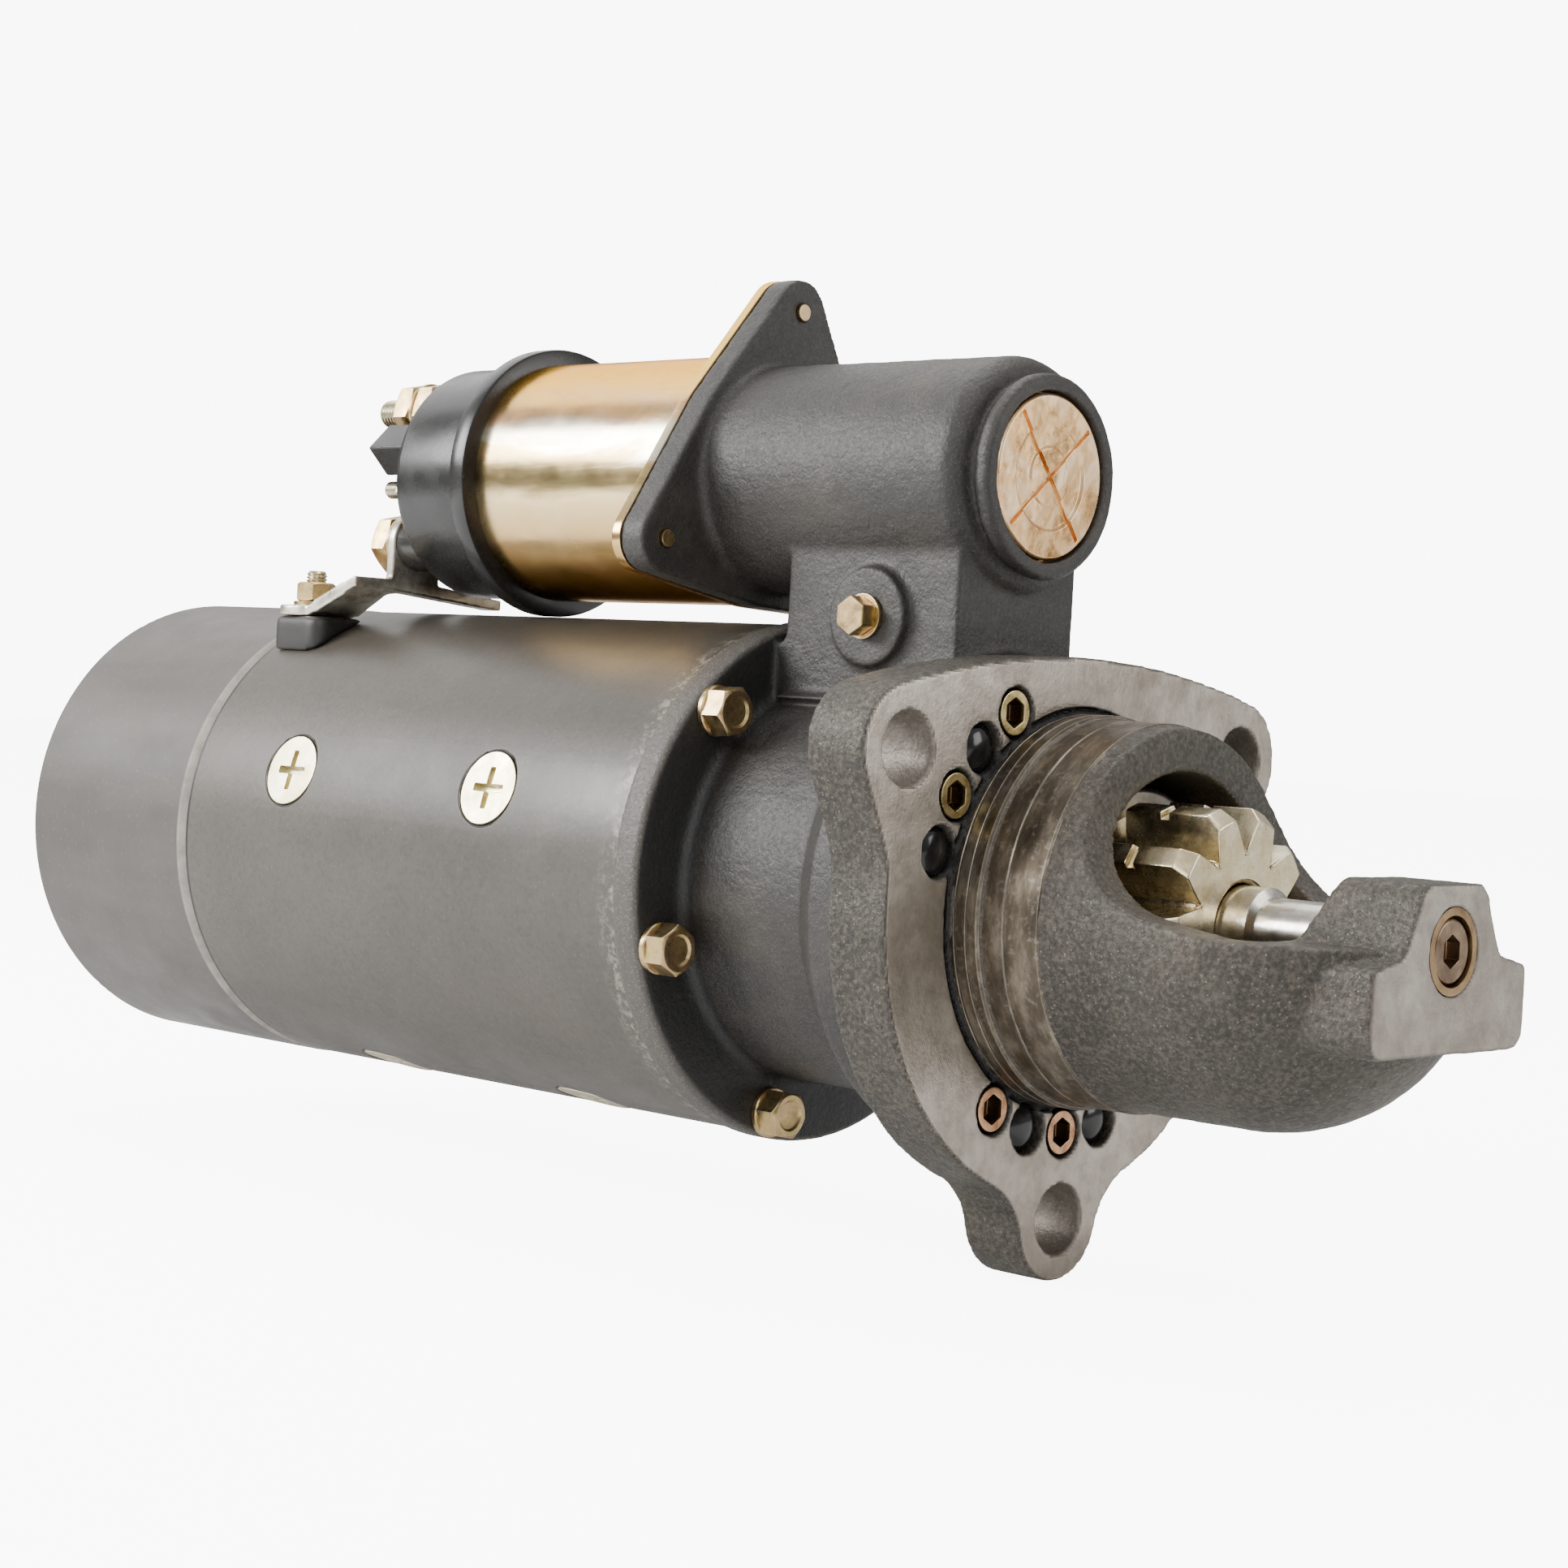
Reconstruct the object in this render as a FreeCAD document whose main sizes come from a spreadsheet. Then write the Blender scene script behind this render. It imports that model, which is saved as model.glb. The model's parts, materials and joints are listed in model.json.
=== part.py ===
import FreeCAD, Part
import os
import re

import Sketcher
from FreeCAD import Placement, Rotation, Vector

# Heavy-duty direct-drive starter motor with a shift lever and a top-mounted solenoid.
# Frame: origin at the centre of the mounting flange's machined front face, on the shaft axis.
# +X runs along the shaft towards the pinion, +Z points up to the solenoid.

DIMENSIONS = {
    # field frame: a thick steel tube with four pole shoes inside
    "frame_radius": 65.0,
    "frame_bore": 53.5,
    "frame_rear": -263.4,
    "frame_front": -89.0,
    "spigot_radius": 53.4,
    # commutator end cap
    "cap_radius": 65.3,
    "cap_rear": -340.0,
    "cap_front": -264.6,
    "cap_bevel": 2.2,
    "cap_rim_round": 2.5,
    "cap_cavity": 53.0,
    "cap_floor": -334.0,
    "cap_bolt_circle": 57.0,
    "cap_bolt_radius": 2.9,
    "cap_bolt_head": 4.8,
    # lever housing: rear flange, barrel, neck and solenoid tube in one casting
    "lever_flange_radius": 66.0,
    "lever_flange_front": -81.0,
    "lever_front": -17.0,
    "barrel_radius": 50.0,
    "barrel_bore": 44.0,
    "lever_collar_radius": 59.5,
    "frame_bolt_circle": 59.5,
    "frame_bolt_radius": 4.0,
    "frame_bolt_first": 15.0,
    "neck_rear": -78.0,
    "neck_front": -23.0,
    "neck_width": 44.0,
    "neck_slot": 26.0,
    "neck_slot_rear": -72.0,
    "neck_slot_front": -31.0,
    "cone_rear": -42.0,
    "cone_front": -31.0,
    "spigot_length": 14.0,
    "neck_foot_top": 62.0,
    "pivot_along": -49.3,
    "pivot_height": 66.6,
    "pivot_boss_radius": 12.0,
    "pivot_boss_side": 25.0,
    "pivot_bolt_radius": 4.0,
    "pivot_bolt_across": 8.4,
    # solenoid axis and its tube
    "solenoid_height": 101.9,
    "tube_radius": 29.0,
    "tube_bore": 22.0,
    "tube_rear": -103.0,
    "plate_rear": -111.0,
    "lobe_circle": 44.0,
    "lobe_radius": 8.5,
    "lobe_disc": 33.0,
    "lobe_first": 84.0,
    "lobe_bolt_radius": 2.2,
    "plug_seat": 20.5,
    "tube_front": -14.3,
    # nose housing: mounting flange, pilot, bullet-shaped nose and end boss
    "flange_rear": -17.0,
    "bolt_circle": 73.03,
    "bolt_hole": 8.35,
    "ear_radius": 15.0,
    "foot_radius": 14.7,
    "flange_base": 68.2,
    "flange_top": 59.3,
    "flange_top_round": 281.0,
    "ear_top_angle": 77.6,
    "ear_side_angle": -25.0,
    "ear_flank": 16.6,
    "ear_flank_round": 25.7,
    "ear_flank_end": 2.5,
    "foot_fillet": 18.0,
    "foot_fillet_start": -68.25,
    "foot_fillet_end": -12.4,
    "small_hole_circle": 52.5,
    "small_hole": 6.0,
    "nose_screw_radius": 3.0,
    "nose_screw_head": 5.2,
    "pilot_radius": 46.04,
    "pilot_front": 8.0,
    "nose_radius": 44.2,
    "nose_ring_radius": 44.9,
    "nose_ring_front": 24.0,
    "nose_centre": 57.0,
    "nose_bore": 34.0,
    "window_rear": 29.5,
    "window_round": 26.0,
    "boss_rear": 72.0,
    "boss_front": 101.0,
    "boss_bore": 9.5,
    # armature
    "armature_radius": 40.0,
    "core_rear": -248.0,
    "core_front": -114.0,
    "core_slots": 20.0,
    "shaft_radius": 12.0,
    "rear_journal": 8.0,
    "middle_journal": 12.5,
    "spline_root": 10.5,
    "spline_tip": 11.9,
    "spline_count": 10.0,
    "drive_shaft_radius": 9.8,
    "nose_journal": 7.7,
    "spline_rear": -81.0,
    "spline_front": -24.0,
    "nose_shoulder": 54.0,
    "shaft_front": 94.0,
    "bearing_rear": -100.0,
    "bearing_wall_front": -95.2,
    "bearing_front": -82.0,
    "bearing_hub_radius": 20.0,
    "bearing_seat": 15.5,
    "bushing_front": -86.0,
    "commutator_radius": 27.0,
    "commutator_rear": -316.0,
    "commutator_front": -276.0,
    "commutator_bars": 28.0,
    "winding_inner": 27.3,
    "winding_outer": 37.9,
    "brush_plate_rear": -300.0,
    "brush_plate_front": -297.0,
    "brush_plate_bore": 29.0,
    "brush_centre": -288.0,
    "brush_half_length": 8.0,
    "brush_half_width": 6.0,
    "running_gap": 0.05,
    # pole shoes and coils
    "pole_bore": 40.7,
    "pole_first": 72.5,
    "pole_rear": -250.0,
    "pole_front": -112.0,
    "pole_screw_rear": -221.0,
    "pole_screw_front": -140.5,
    "pole_screw_head": 9.7,
    "pole_screw_radius": 5.0,
    # drive: collar, cushion spring, clutch and pinion
    "collar_centre": -59.7,
    "collar_groove": 8.2,
    "collar_radius": 24.0,
    "sleeve_radius": 14.5,
    "clutch_rear": -20.0,
    "clutch_front": 18.0,
    "clutch_radius": 30.0,
    "roller_circle": 19.5,
    "roller_radius": 3.7,
    "race_radius": 15.4,
    "pinion_rear": 21.0,
    "pinion_front": 47.0,
    "pinion_tip": 27.5,
    "pinion_root": 18.2,
    "pinion_teeth": 10.0,
    "pinion_phase": 1.0,
    "pinion_bore": 10.1,
    "tooth_root": 5.2,
    "tooth_middle": 4.0,
    "tooth_tip": 2.6,
    # shift lever
    "lever_tilt": 9.0,
    "lever_upper": 35.3,
    "lever_lower": 66.6,
    # solenoid
    "case_radius": 32.4,
    "case_wall": 2.0,
    "case_rear": -186.0,
    "case_front": -114.0,
    "solenoid_cap_radius": 32.2,
    "solenoid_cap_ring": 36.8,
    "solenoid_cap_step": -191.0,
    "solenoid_cap_rear": -221.0,
    "plunger_radius": 16.0,
    "plunger_rear": -147.0,
    "plunger_front": -75.0,
    "link_pin_radius": 3.0,
    "link_half": 6.5,
    "bobbin_rear": -183.0,
    "bobbin_front": -114.5,
    "bobbin_wall": 2.0,
    "bobbin_bore": 16.5,
    "bobbin_tube": 18.2,
    "bobbin_radius": 30.0,
    "contact_rear": -203.2,
    "contact_thickness": 3.0,
    "contact_rod_radius": 3.0,
    "disc_radius": 26.0,
    "battery_side": -12.0,
    "battery_lift": 19.5,
    "motor_side": -16.5,
    "motor_lift": -18.0,
    "switch_side": -23.0,
    "switch_lift": -3.4,
    "shroud_side": -22.0,
    "shroud_lift": 8.0,
    "shroud_half": 7.3,
    "shroud_length": 15.0,
    "stud_radius": 4.0,
    "small_stud_radius": 2.5,
    "stud_relief": 0.6,
    "battery_reach": 28.0,
    "motor_reach": 20.0,
    "switch_reach": 12.0,
    "motor_boss": 6.6,
    "motor_boss_radius": 7.8,
    "nut_washer": 1.2,
    "nut_across": 15.0,
    "nut_height": 7.0,
    "small_nut_across": 7.0,
    "small_nut_height": 4.0,
    # strap and frame terminal
    "frame_stud_along": -255.0,
    "frame_stud_side": -30.0,
    "strap_bottom": 62.0,
    "strap_rise": 8.5,
    "strap_thickness": 3.0,
    "strap_width": 16.0,
    "strap_tab_half": 8.5,
    "frame_stud_radius": 3.0,
    "insulator_sleeve": 5.0,
}

ALIAS = re.compile(r"[a-z_]+[a-z]")

DOC = FreeCAD.newDocument("starter_motor")
SHEET = DOC.addObject("Spreadsheet::Sheet", "Dims")
for row, (alias, size) in enumerate(DIMENSIONS.items(), start=1):
    SHEET.set("A%d" % row, alias)
    SHEET.set("B%d" % row, str(size))
    SHEET.setAlias("B%d" % row, alias)
DOC.recompute()


# ---------------------------------------------------------------- expressions and sketches

def bound(text):
    """The expression with each alias written as a reference to the sheet."""
    return ALIAS.sub(lambda found: "Dims." + found.group(0) if found.group(0) in DIMENSIONS
                     else found.group(0), str(text))


def number(text):
    """The expression's present value."""
    return float(SHEET.evalExpression(str(text)))


def angle_on(radius, angle):
    """The Y and Z expressions of a point at an angle on a circle round the X axis."""
    return ("(%s) * cos(%s)" % (radius, angle), "(%s) * sin(%s)" % (radius, angle))


def origin_feature(body, role):
    """The body's own origin plane or axis."""
    for feature in body.Origin.OriginFeatures:
        if feature.Role == role:
            return feature
    raise ValueError(role)


def new_body(name, lift="0"):
    """An empty body whose label names its file, raised to a height above the shaft axis."""
    body = DOC.addObject("PartDesign::Body", name)
    body.Label = name
    body.AllowCompound = True
    if lift != "0":
        body.setExpression("Placement.Base.z", bound(lift))
    return body


def new_sketch(body, plane, offset="0", lift="0"):
    """A sketch on an origin plane, moved along the plane's normal and upwards in it."""
    sketch = body.newObject("Sketcher::SketchObject", body.Name + "_sketch")
    sketch.AttachmentSupport = [(origin_feature(body, plane), "")]
    sketch.MapMode = "FlatFace"
    sketch.setExpression("AttachmentOffset.Base.y", bound(lift))
    sketch.setExpression("AttachmentOffset.Base.z", bound(offset))
    return sketch


def bind(sketch, kind, places, expression):
    """A sketch size tied to the sheet."""
    index = sketch.addConstraint(Sketcher.Constraint(kind, *places, number(expression)))
    sketch.setExpression("Constraints[%d]" % index, bound(expression))


def arc_between(start, end, radius):
    """The short arc from start to end. A positive radius turns left, a negative one right."""
    chord = end - start
    height = (radius * radius - chord.Length * chord.Length / 4) ** 0.5
    left = Vector(-chord.y, chord.x, 0).normalize()
    centre = (start + end) * 0.5 + left * (height if radius > 0 else -height)
    circle = Part.Circle(centre, Vector(0, 0, 1), abs(radius))
    first, last = (start, end) if radius > 0 else (end, start)
    begin = circle.parameter(first)
    finish = circle.parameter(last)
    return Part.ArcOfCircle(circle, begin, finish)


def draw_outline(sketch, points):
    """A closed outline through (u, v) corners. A third value is the radius of the arc that
    runs from that corner to the next one."""
    corners = [Vector(number(point[0]), number(point[1]), 0) for point in points]
    ends = []
    for i, point in enumerate(points):
        start = corners[i]
        end = corners[(i + 1) % len(points)]
        if len(point) == 3:
            geometry = sketch.addGeometry(arc_between(start, end, number(point[2])), False)
            ends.append((geometry, 1, 2) if number(point[2]) > 0 else (geometry, 2, 1))
        else:
            geometry = sketch.addGeometry(Part.LineSegment(start, end), False)
            ends.append((geometry, 1, 2))
    for i, point in enumerate(points):
        geometry, first, last = ends[i]
        follower, follower_first, _ = ends[(i + 1) % len(points)]
        sketch.addConstraint(Sketcher.Constraint("Coincident", geometry, last,
                                                 follower, follower_first))
        bind(sketch, "DistanceX", (geometry, first), point[0])
        bind(sketch, "DistanceY", (geometry, first), point[1])
        if len(point) == 3:
            bind(sketch, "Radius", (geometry,), "abs(%s)" % point[2])


def draw_circles(sketch, circles):
    """Circles given as (u, v, radius)."""
    for u, v, radius in circles:
        circle = Part.Circle(Vector(number(u), number(v), 0), Vector(0, 0, 1), number(radius))
        geometry = sketch.addGeometry(circle, False)
        bind(sketch, "DistanceX", (geometry, 3), u)
        bind(sketch, "DistanceY", (geometry, 3), v)
        bind(sketch, "Radius", (geometry,), radius)


def hexagon(u, v, across):
    """Corner expressions of a hexagon standing on a corner, from its width across flats."""
    corners = []
    for i in range(6):
        turn = 30 + 60 * i
        corners.append(("%s + (%s) / 2 / cos(30) * cos(%d)" % (u, across, turn),
                        "%s + (%s) / 2 / cos(30) * sin(%d)" % (v, across, turn)))
    return corners


def mirrored(points):
    """A half outline from the symmetry line round to it again, closed by its mirror image."""
    result = list(points)
    for i in range(len(points) - 1, -1, -1):
        u, v = points[i][0], points[i][1]
        arc = points[i - 1][2:] if i > 0 else ()
        if u == "0":
            if i == len(points) - 1:
                result[-1] = (u, v) + tuple(arc)
            continue
        result.append(("-(%s)" % u, v) + tuple(arc))
    return result


# ---------------------------------------------------------------- features

def recompute_feature(body, feature):
    """The feature becomes the body's tip and is computed."""
    body.Tip = feature
    DOC.recompute()
    if "Invalid" in feature.State:
        raise ValueError("%s in %s cannot be computed" % (feature.Name, body.Label))
    return feature


def turned(body, points, lift="0", kind="Revolution"):
    """A profile of (x, radius) corners turned round the X direction at a height."""
    before = body.Shape.Volume if body.Tip else 0.0
    sketch = new_sketch(body, "XZ_Plane", "0", lift)
    draw_outline(sketch, points)
    feature = body.newObject("PartDesign::" + kind, body.Name + "_turned")
    feature.Profile = sketch
    feature.ReferenceAxis = (sketch, ["H_Axis"])
    feature.Angle = 360
    recompute_feature(body, feature)
    if kind == "Groove" and body.Shape.Volume > before - 1e-3:
        raise ValueError("groove cuts nothing: " + body.Label)
    return feature


def grooved(body, points, lift="0"):
    """A turned cut."""
    return turned(body, points, lift, "Groove")


def padded(body, sketch, length, middle=False, backwards=False):
    """Material added from a sketch."""
    feature = body.newObject("PartDesign::Pad", body.Name + "_pad")
    feature.Profile = sketch
    feature.setExpression("Length", bound(length))
    feature.Midplane = middle
    feature.Reversed = backwards
    return recompute_feature(body, feature)


def pocketed(body, sketch, length, middle=False, backwards=False):
    """Material cut away from a sketch, against its normal unless backwards is true."""
    before = body.Shape.Volume
    feature = body.newObject("PartDesign::Pocket", body.Name + "_pocket")
    feature.Profile = sketch
    feature.setExpression("Length", bound(length))
    feature.Midplane = middle
    feature.Reversed = backwards
    recompute_feature(body, feature)
    if body.Shape.Volume > before - 1e-3:
        raise ValueError("pocket cuts nothing: " + body.Label)
    return feature


def outline_pad(body, plane, points, start, length, lift="0", middle=False):
    """An outline padded along the plane's normal from a start position."""
    sketch = new_sketch(body, plane, start, lift)
    draw_outline(sketch, points)
    return padded(body, sketch, length, middle)


def outline_pocket(body, plane, points, start, length, lift="0", middle=False):
    """An outline cut along the plane's normal from a start position."""
    sketch = new_sketch(body, plane, start, lift)
    draw_outline(sketch, points)
    return pocketed(body, sketch, length, middle, backwards=not middle)


def circle_pad(body, plane, circles, start, length, lift="0", middle=False):
    """Circles padded along the plane's normal from a start position."""
    sketch = new_sketch(body, plane, start, lift)
    draw_circles(sketch, circles)
    return padded(body, sketch, length, middle)


def circle_pocket(body, plane, circles, start, length, lift="0", middle=False):
    """Circles cut along the plane's normal from a start position."""
    sketch = new_sketch(body, plane, start, lift)
    draw_circles(sketch, circles)
    return pocketed(body, sketch, length, middle, backwards=not middle)


def polar(body, count, originals=None, axis=None):
    """Features, or the whole body when none are named, repeated round an axis."""
    feature = body.newObject("PartDesign::PolarPattern", body.Name + "_pattern")
    if originals:
        feature.Originals = originals
    else:
        feature.TransformMode = "Whole shape"
    feature.Axis = axis or (origin_feature(body, "X_Axis"), [""])
    feature.Angle = 360
    feature.setExpression("Occurrences", bound(count))
    return recompute_feature(body, feature)


def helix(body, points, axis_name, pitch, height):
    """A round wire wound round a sketch axis."""
    sketch = new_sketch(body, "XZ_Plane")
    draw_circles(sketch, points)
    feature = body.newObject("PartDesign::AdditiveHelix", body.Name + "_helix")
    feature.Profile = sketch
    feature.ReferenceAxis = (sketch, [axis_name])
    feature.Mode = 0
    feature.setExpression("Pitch", bound(pitch))
    feature.setExpression("Height", bound(height))
    return recompute_feature(body, feature)


def ring(name, rear, front, inner, outer, lift="0"):
    """A plain ring or sleeve on the X axis."""
    body = new_body(name, lift)
    turned(body, [(rear, inner), (rear, outer), (front, outer), (front, inner)])
    return body


def o_rings(name, places, radius, thickness):
    """Round-section seals on the X axis, one at each place along it."""
    body = new_body(name)
    sketch = new_sketch(body, "XZ_Plane")
    draw_circles(sketch, [(along, radius, thickness) for along in places])
    feature = body.newObject("PartDesign::Revolution", name + "_turned")
    feature.Profile = sketch
    feature.ReferenceAxis = (sketch, ["H_Axis"])
    feature.Angle = 360
    recompute_feature(body, feature)
    return body


# ---------------------------------------------------------------- frame and end cap

def field_frame():
    body = ring("field_frame", "frame_rear", "frame_front", "frame_bore", "frame_radius")
    front_holes = circle_pocket(body, "YZ_Plane",
                                [angle_on("frame_bolt_circle", "frame_bolt_first")
                                 + ("frame_bolt_radius",)],
                                "frame_front - 20", "20")
    polar(body, "6", [front_holes])
    rear_holes = circle_pocket(body, "YZ_Plane",
                               [angle_on("cap_bolt_circle", "45") + ("cap_bolt_radius",)],
                               "frame_rear", "24")
    polar(body, "4", [rear_holes])
    # countersunk pole-screw holes, drilled along +Z and turned to the first pole
    tool = pole_screw_shape("pole_screw_holes", "0.5", "frame_radius + 1")
    circle_pocket(body, "XY_Plane", [("frame_stud_along", "frame_stud_side",
                                      "insulator_sleeve + 0.05")], "40", "20")
    cut = DOC.addObject("Part::Cut", "field_frame_drilled")
    cut.Base = body
    cut.Tool = tool
    body.Label = "field_frame_blank"
    cut.Label = "field_frame"
    DOC.recompute()
    return cut


def pole_screw_shape(name, clearance, top):
    """Eight countersunk screws, two along each pole, as one body up to a top radius."""
    body = new_body(name)
    for place in ("pole_screw_rear", "pole_screw_front"):
        sketch = new_sketch(body, "XZ_Plane")
        head = "pole_screw_head + %s" % clearance
        shank = "pole_screw_radius + %s" % clearance
        draw_outline(sketch, [(place, "44"), (place, top), ("%s + %s" % (place, head), top),
                              ("%s + %s" % (place, head), "frame_radius - 1"),
                              ("%s + %s" % (place, shank), "frame_radius - 5.5"),
                              ("%s + %s" % (place, shank), "44")])
        line = sketch.addGeometry(Part.LineSegment(Vector(number(place), 0, 0),
                                                   Vector(number(place), 10, 0)), True)
        bind(sketch, "DistanceX", (line, 1), place)
        bind(sketch, "DistanceX", (line, 2), place)
        feature = body.newObject("PartDesign::Revolution", name + "_turned")
        feature.Profile = sketch
        feature.ReferenceAxis = (sketch, ["Axis0"])
        feature.Angle = 360
        recompute_feature(body, feature)
    body.Placement = Placement(Vector(0, 0, 0), Rotation(Vector(1, 0, 0), 0))
    body.setExpression("Placement.Rotation.Angle", bound("pole_first - 90"))
    polar(body, "4")
    return body


def pole_screws():
    body = pole_screw_shape("pole_screws", "0", "frame_radius - 0.3")
    slots = []
    for place in ("pole_screw_rear", "pole_screw_front"):
        for long, wide in (("5.4", "0.9"), ("0.9", "5.4")):
            corners = [("%s - %s" % (place, long), "-(%s)" % wide),
                       ("%s + %s" % (place, long), "-(%s)" % wide),
                       ("%s + %s" % (place, long), wide),
                       ("%s - %s" % (place, long), wide)]
            slots.append(outline_pocket(body, "XY_Plane", corners, "frame_radius - 3", "4"))
    polar(body, "4", slots)
    return body


def commutator_end_cap():
    body = new_body("commutator_end_cap")
    turned(body, [("cap_rear", "0"), ("cap_rear", "cap_radius - cap_rim_round", "-cap_rim_round"),
                  ("cap_rear + cap_rim_round", "cap_radius"),
                  ("cap_front - cap_bevel", "cap_radius"),
                  ("cap_front", "cap_radius - cap_bevel"),
                  ("cap_front", "spigot_radius"), ("cap_front + 3.2", "spigot_radius"),
                  ("cap_front + 3.2", "spigot_radius - 2"),
                  ("cap_front + 6.2", "spigot_radius - 2"),
                  ("cap_front + 6.2", "spigot_radius"),
                  ("cap_front + 8.6", "spigot_radius"), ("cap_front + 8.6", "48"),
                  ("cap_front - 4", "48"), ("cap_front - 8", "cap_cavity"),
                  ("cap_floor + 5", "cap_cavity"), ("cap_floor", "48"),
                  ("cap_floor", "18"), ("cap_floor + 12", "18"),
                  ("cap_floor + 12", "11"), ("cap_floor", "11"), ("cap_floor", "0")])
    spot = angle_on("cap_bolt_circle", "45")
    shank = circle_pocket(body, "YZ_Plane", [spot + ("cap_bolt_radius",)],
                          "cap_rear", "cap_front - cap_rear")
    recess = circle_pocket(body, "YZ_Plane", [spot + ("cap_bolt_head + 0.5",)], "cap_rear", "5.6")
    polar(body, "4", [shank, recess])
    return body


def cap_bolts():
    body = new_body("end_cap_bolts")
    spot = angle_on("cap_bolt_circle", "45")
    circle_pad(body, "YZ_Plane", [spot + ("cap_bolt_radius",)], "cap_rear + 5.6",
               "frame_rear + 23 - cap_rear - 5.6")
    circle_pad(body, "YZ_Plane", [spot + ("cap_bolt_head",)], "cap_rear + 0.6", "5")
    outline_pocket(body, "YZ_Plane", hexagon(spot[0], spot[1], "5"), "cap_rear + 0.6", "3")
    polar(body, "4")
    return body


# ---------------------------------------------------------------- lever housing

def tongue(circle, lobe, disc):
    """A lobe's outline: a round end joined by its tangents to the central disc. The lobe
    points along +u; the lean is the angle between a tangent point and the lobe's centre line."""
    lean = "acos((%s - %s) / %s)" % (disc, lobe, circle)
    low_u = "(%s) * cos(%s)" % (disc, lean)
    low_v = "(%s) * sin(%s)" % (disc, lean)
    high_u = "%s + (%s) * cos(%s)" % (circle, lobe, lean)
    high_v = "(%s) * sin(%s)" % (lobe, lean)
    return [("0", "0"), (low_u, "-(%s)" % low_v), (high_u, "-(%s)" % high_v, lobe),
            (high_u, high_v), (low_u, low_v)]


def turned_points(points, angle):
    """Sketch corners turned about the sketch origin."""
    result = []
    for point in points:
        u, v = point[0], point[1]
        result.append(("(%s) * cos(%s) - (%s) * sin(%s)" % (u, angle, v, angle),
                       "(%s) * sin(%s) + (%s) * cos(%s)" % (u, angle, v, angle)) + point[2:])
    return result


def lobed_plate(body, rear, thickness, lift):
    """Three lobes and their centre disc, with a screw hole in each lobe."""
    disc = circle_pad(body, "YZ_Plane", [("0", "0", "lobe_disc")], rear, thickness, lift)
    axis = (disc.Profile[0], ["N_Axis"])
    for turn in (0, 120, 240):
        angle = "lobe_first + %d" % turn
        corners = turned_points(tongue("lobe_circle", "lobe_radius", "lobe_disc"), angle)
        outline_pad(body, "YZ_Plane", corners, rear, thickness, lift)
    return axis


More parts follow.
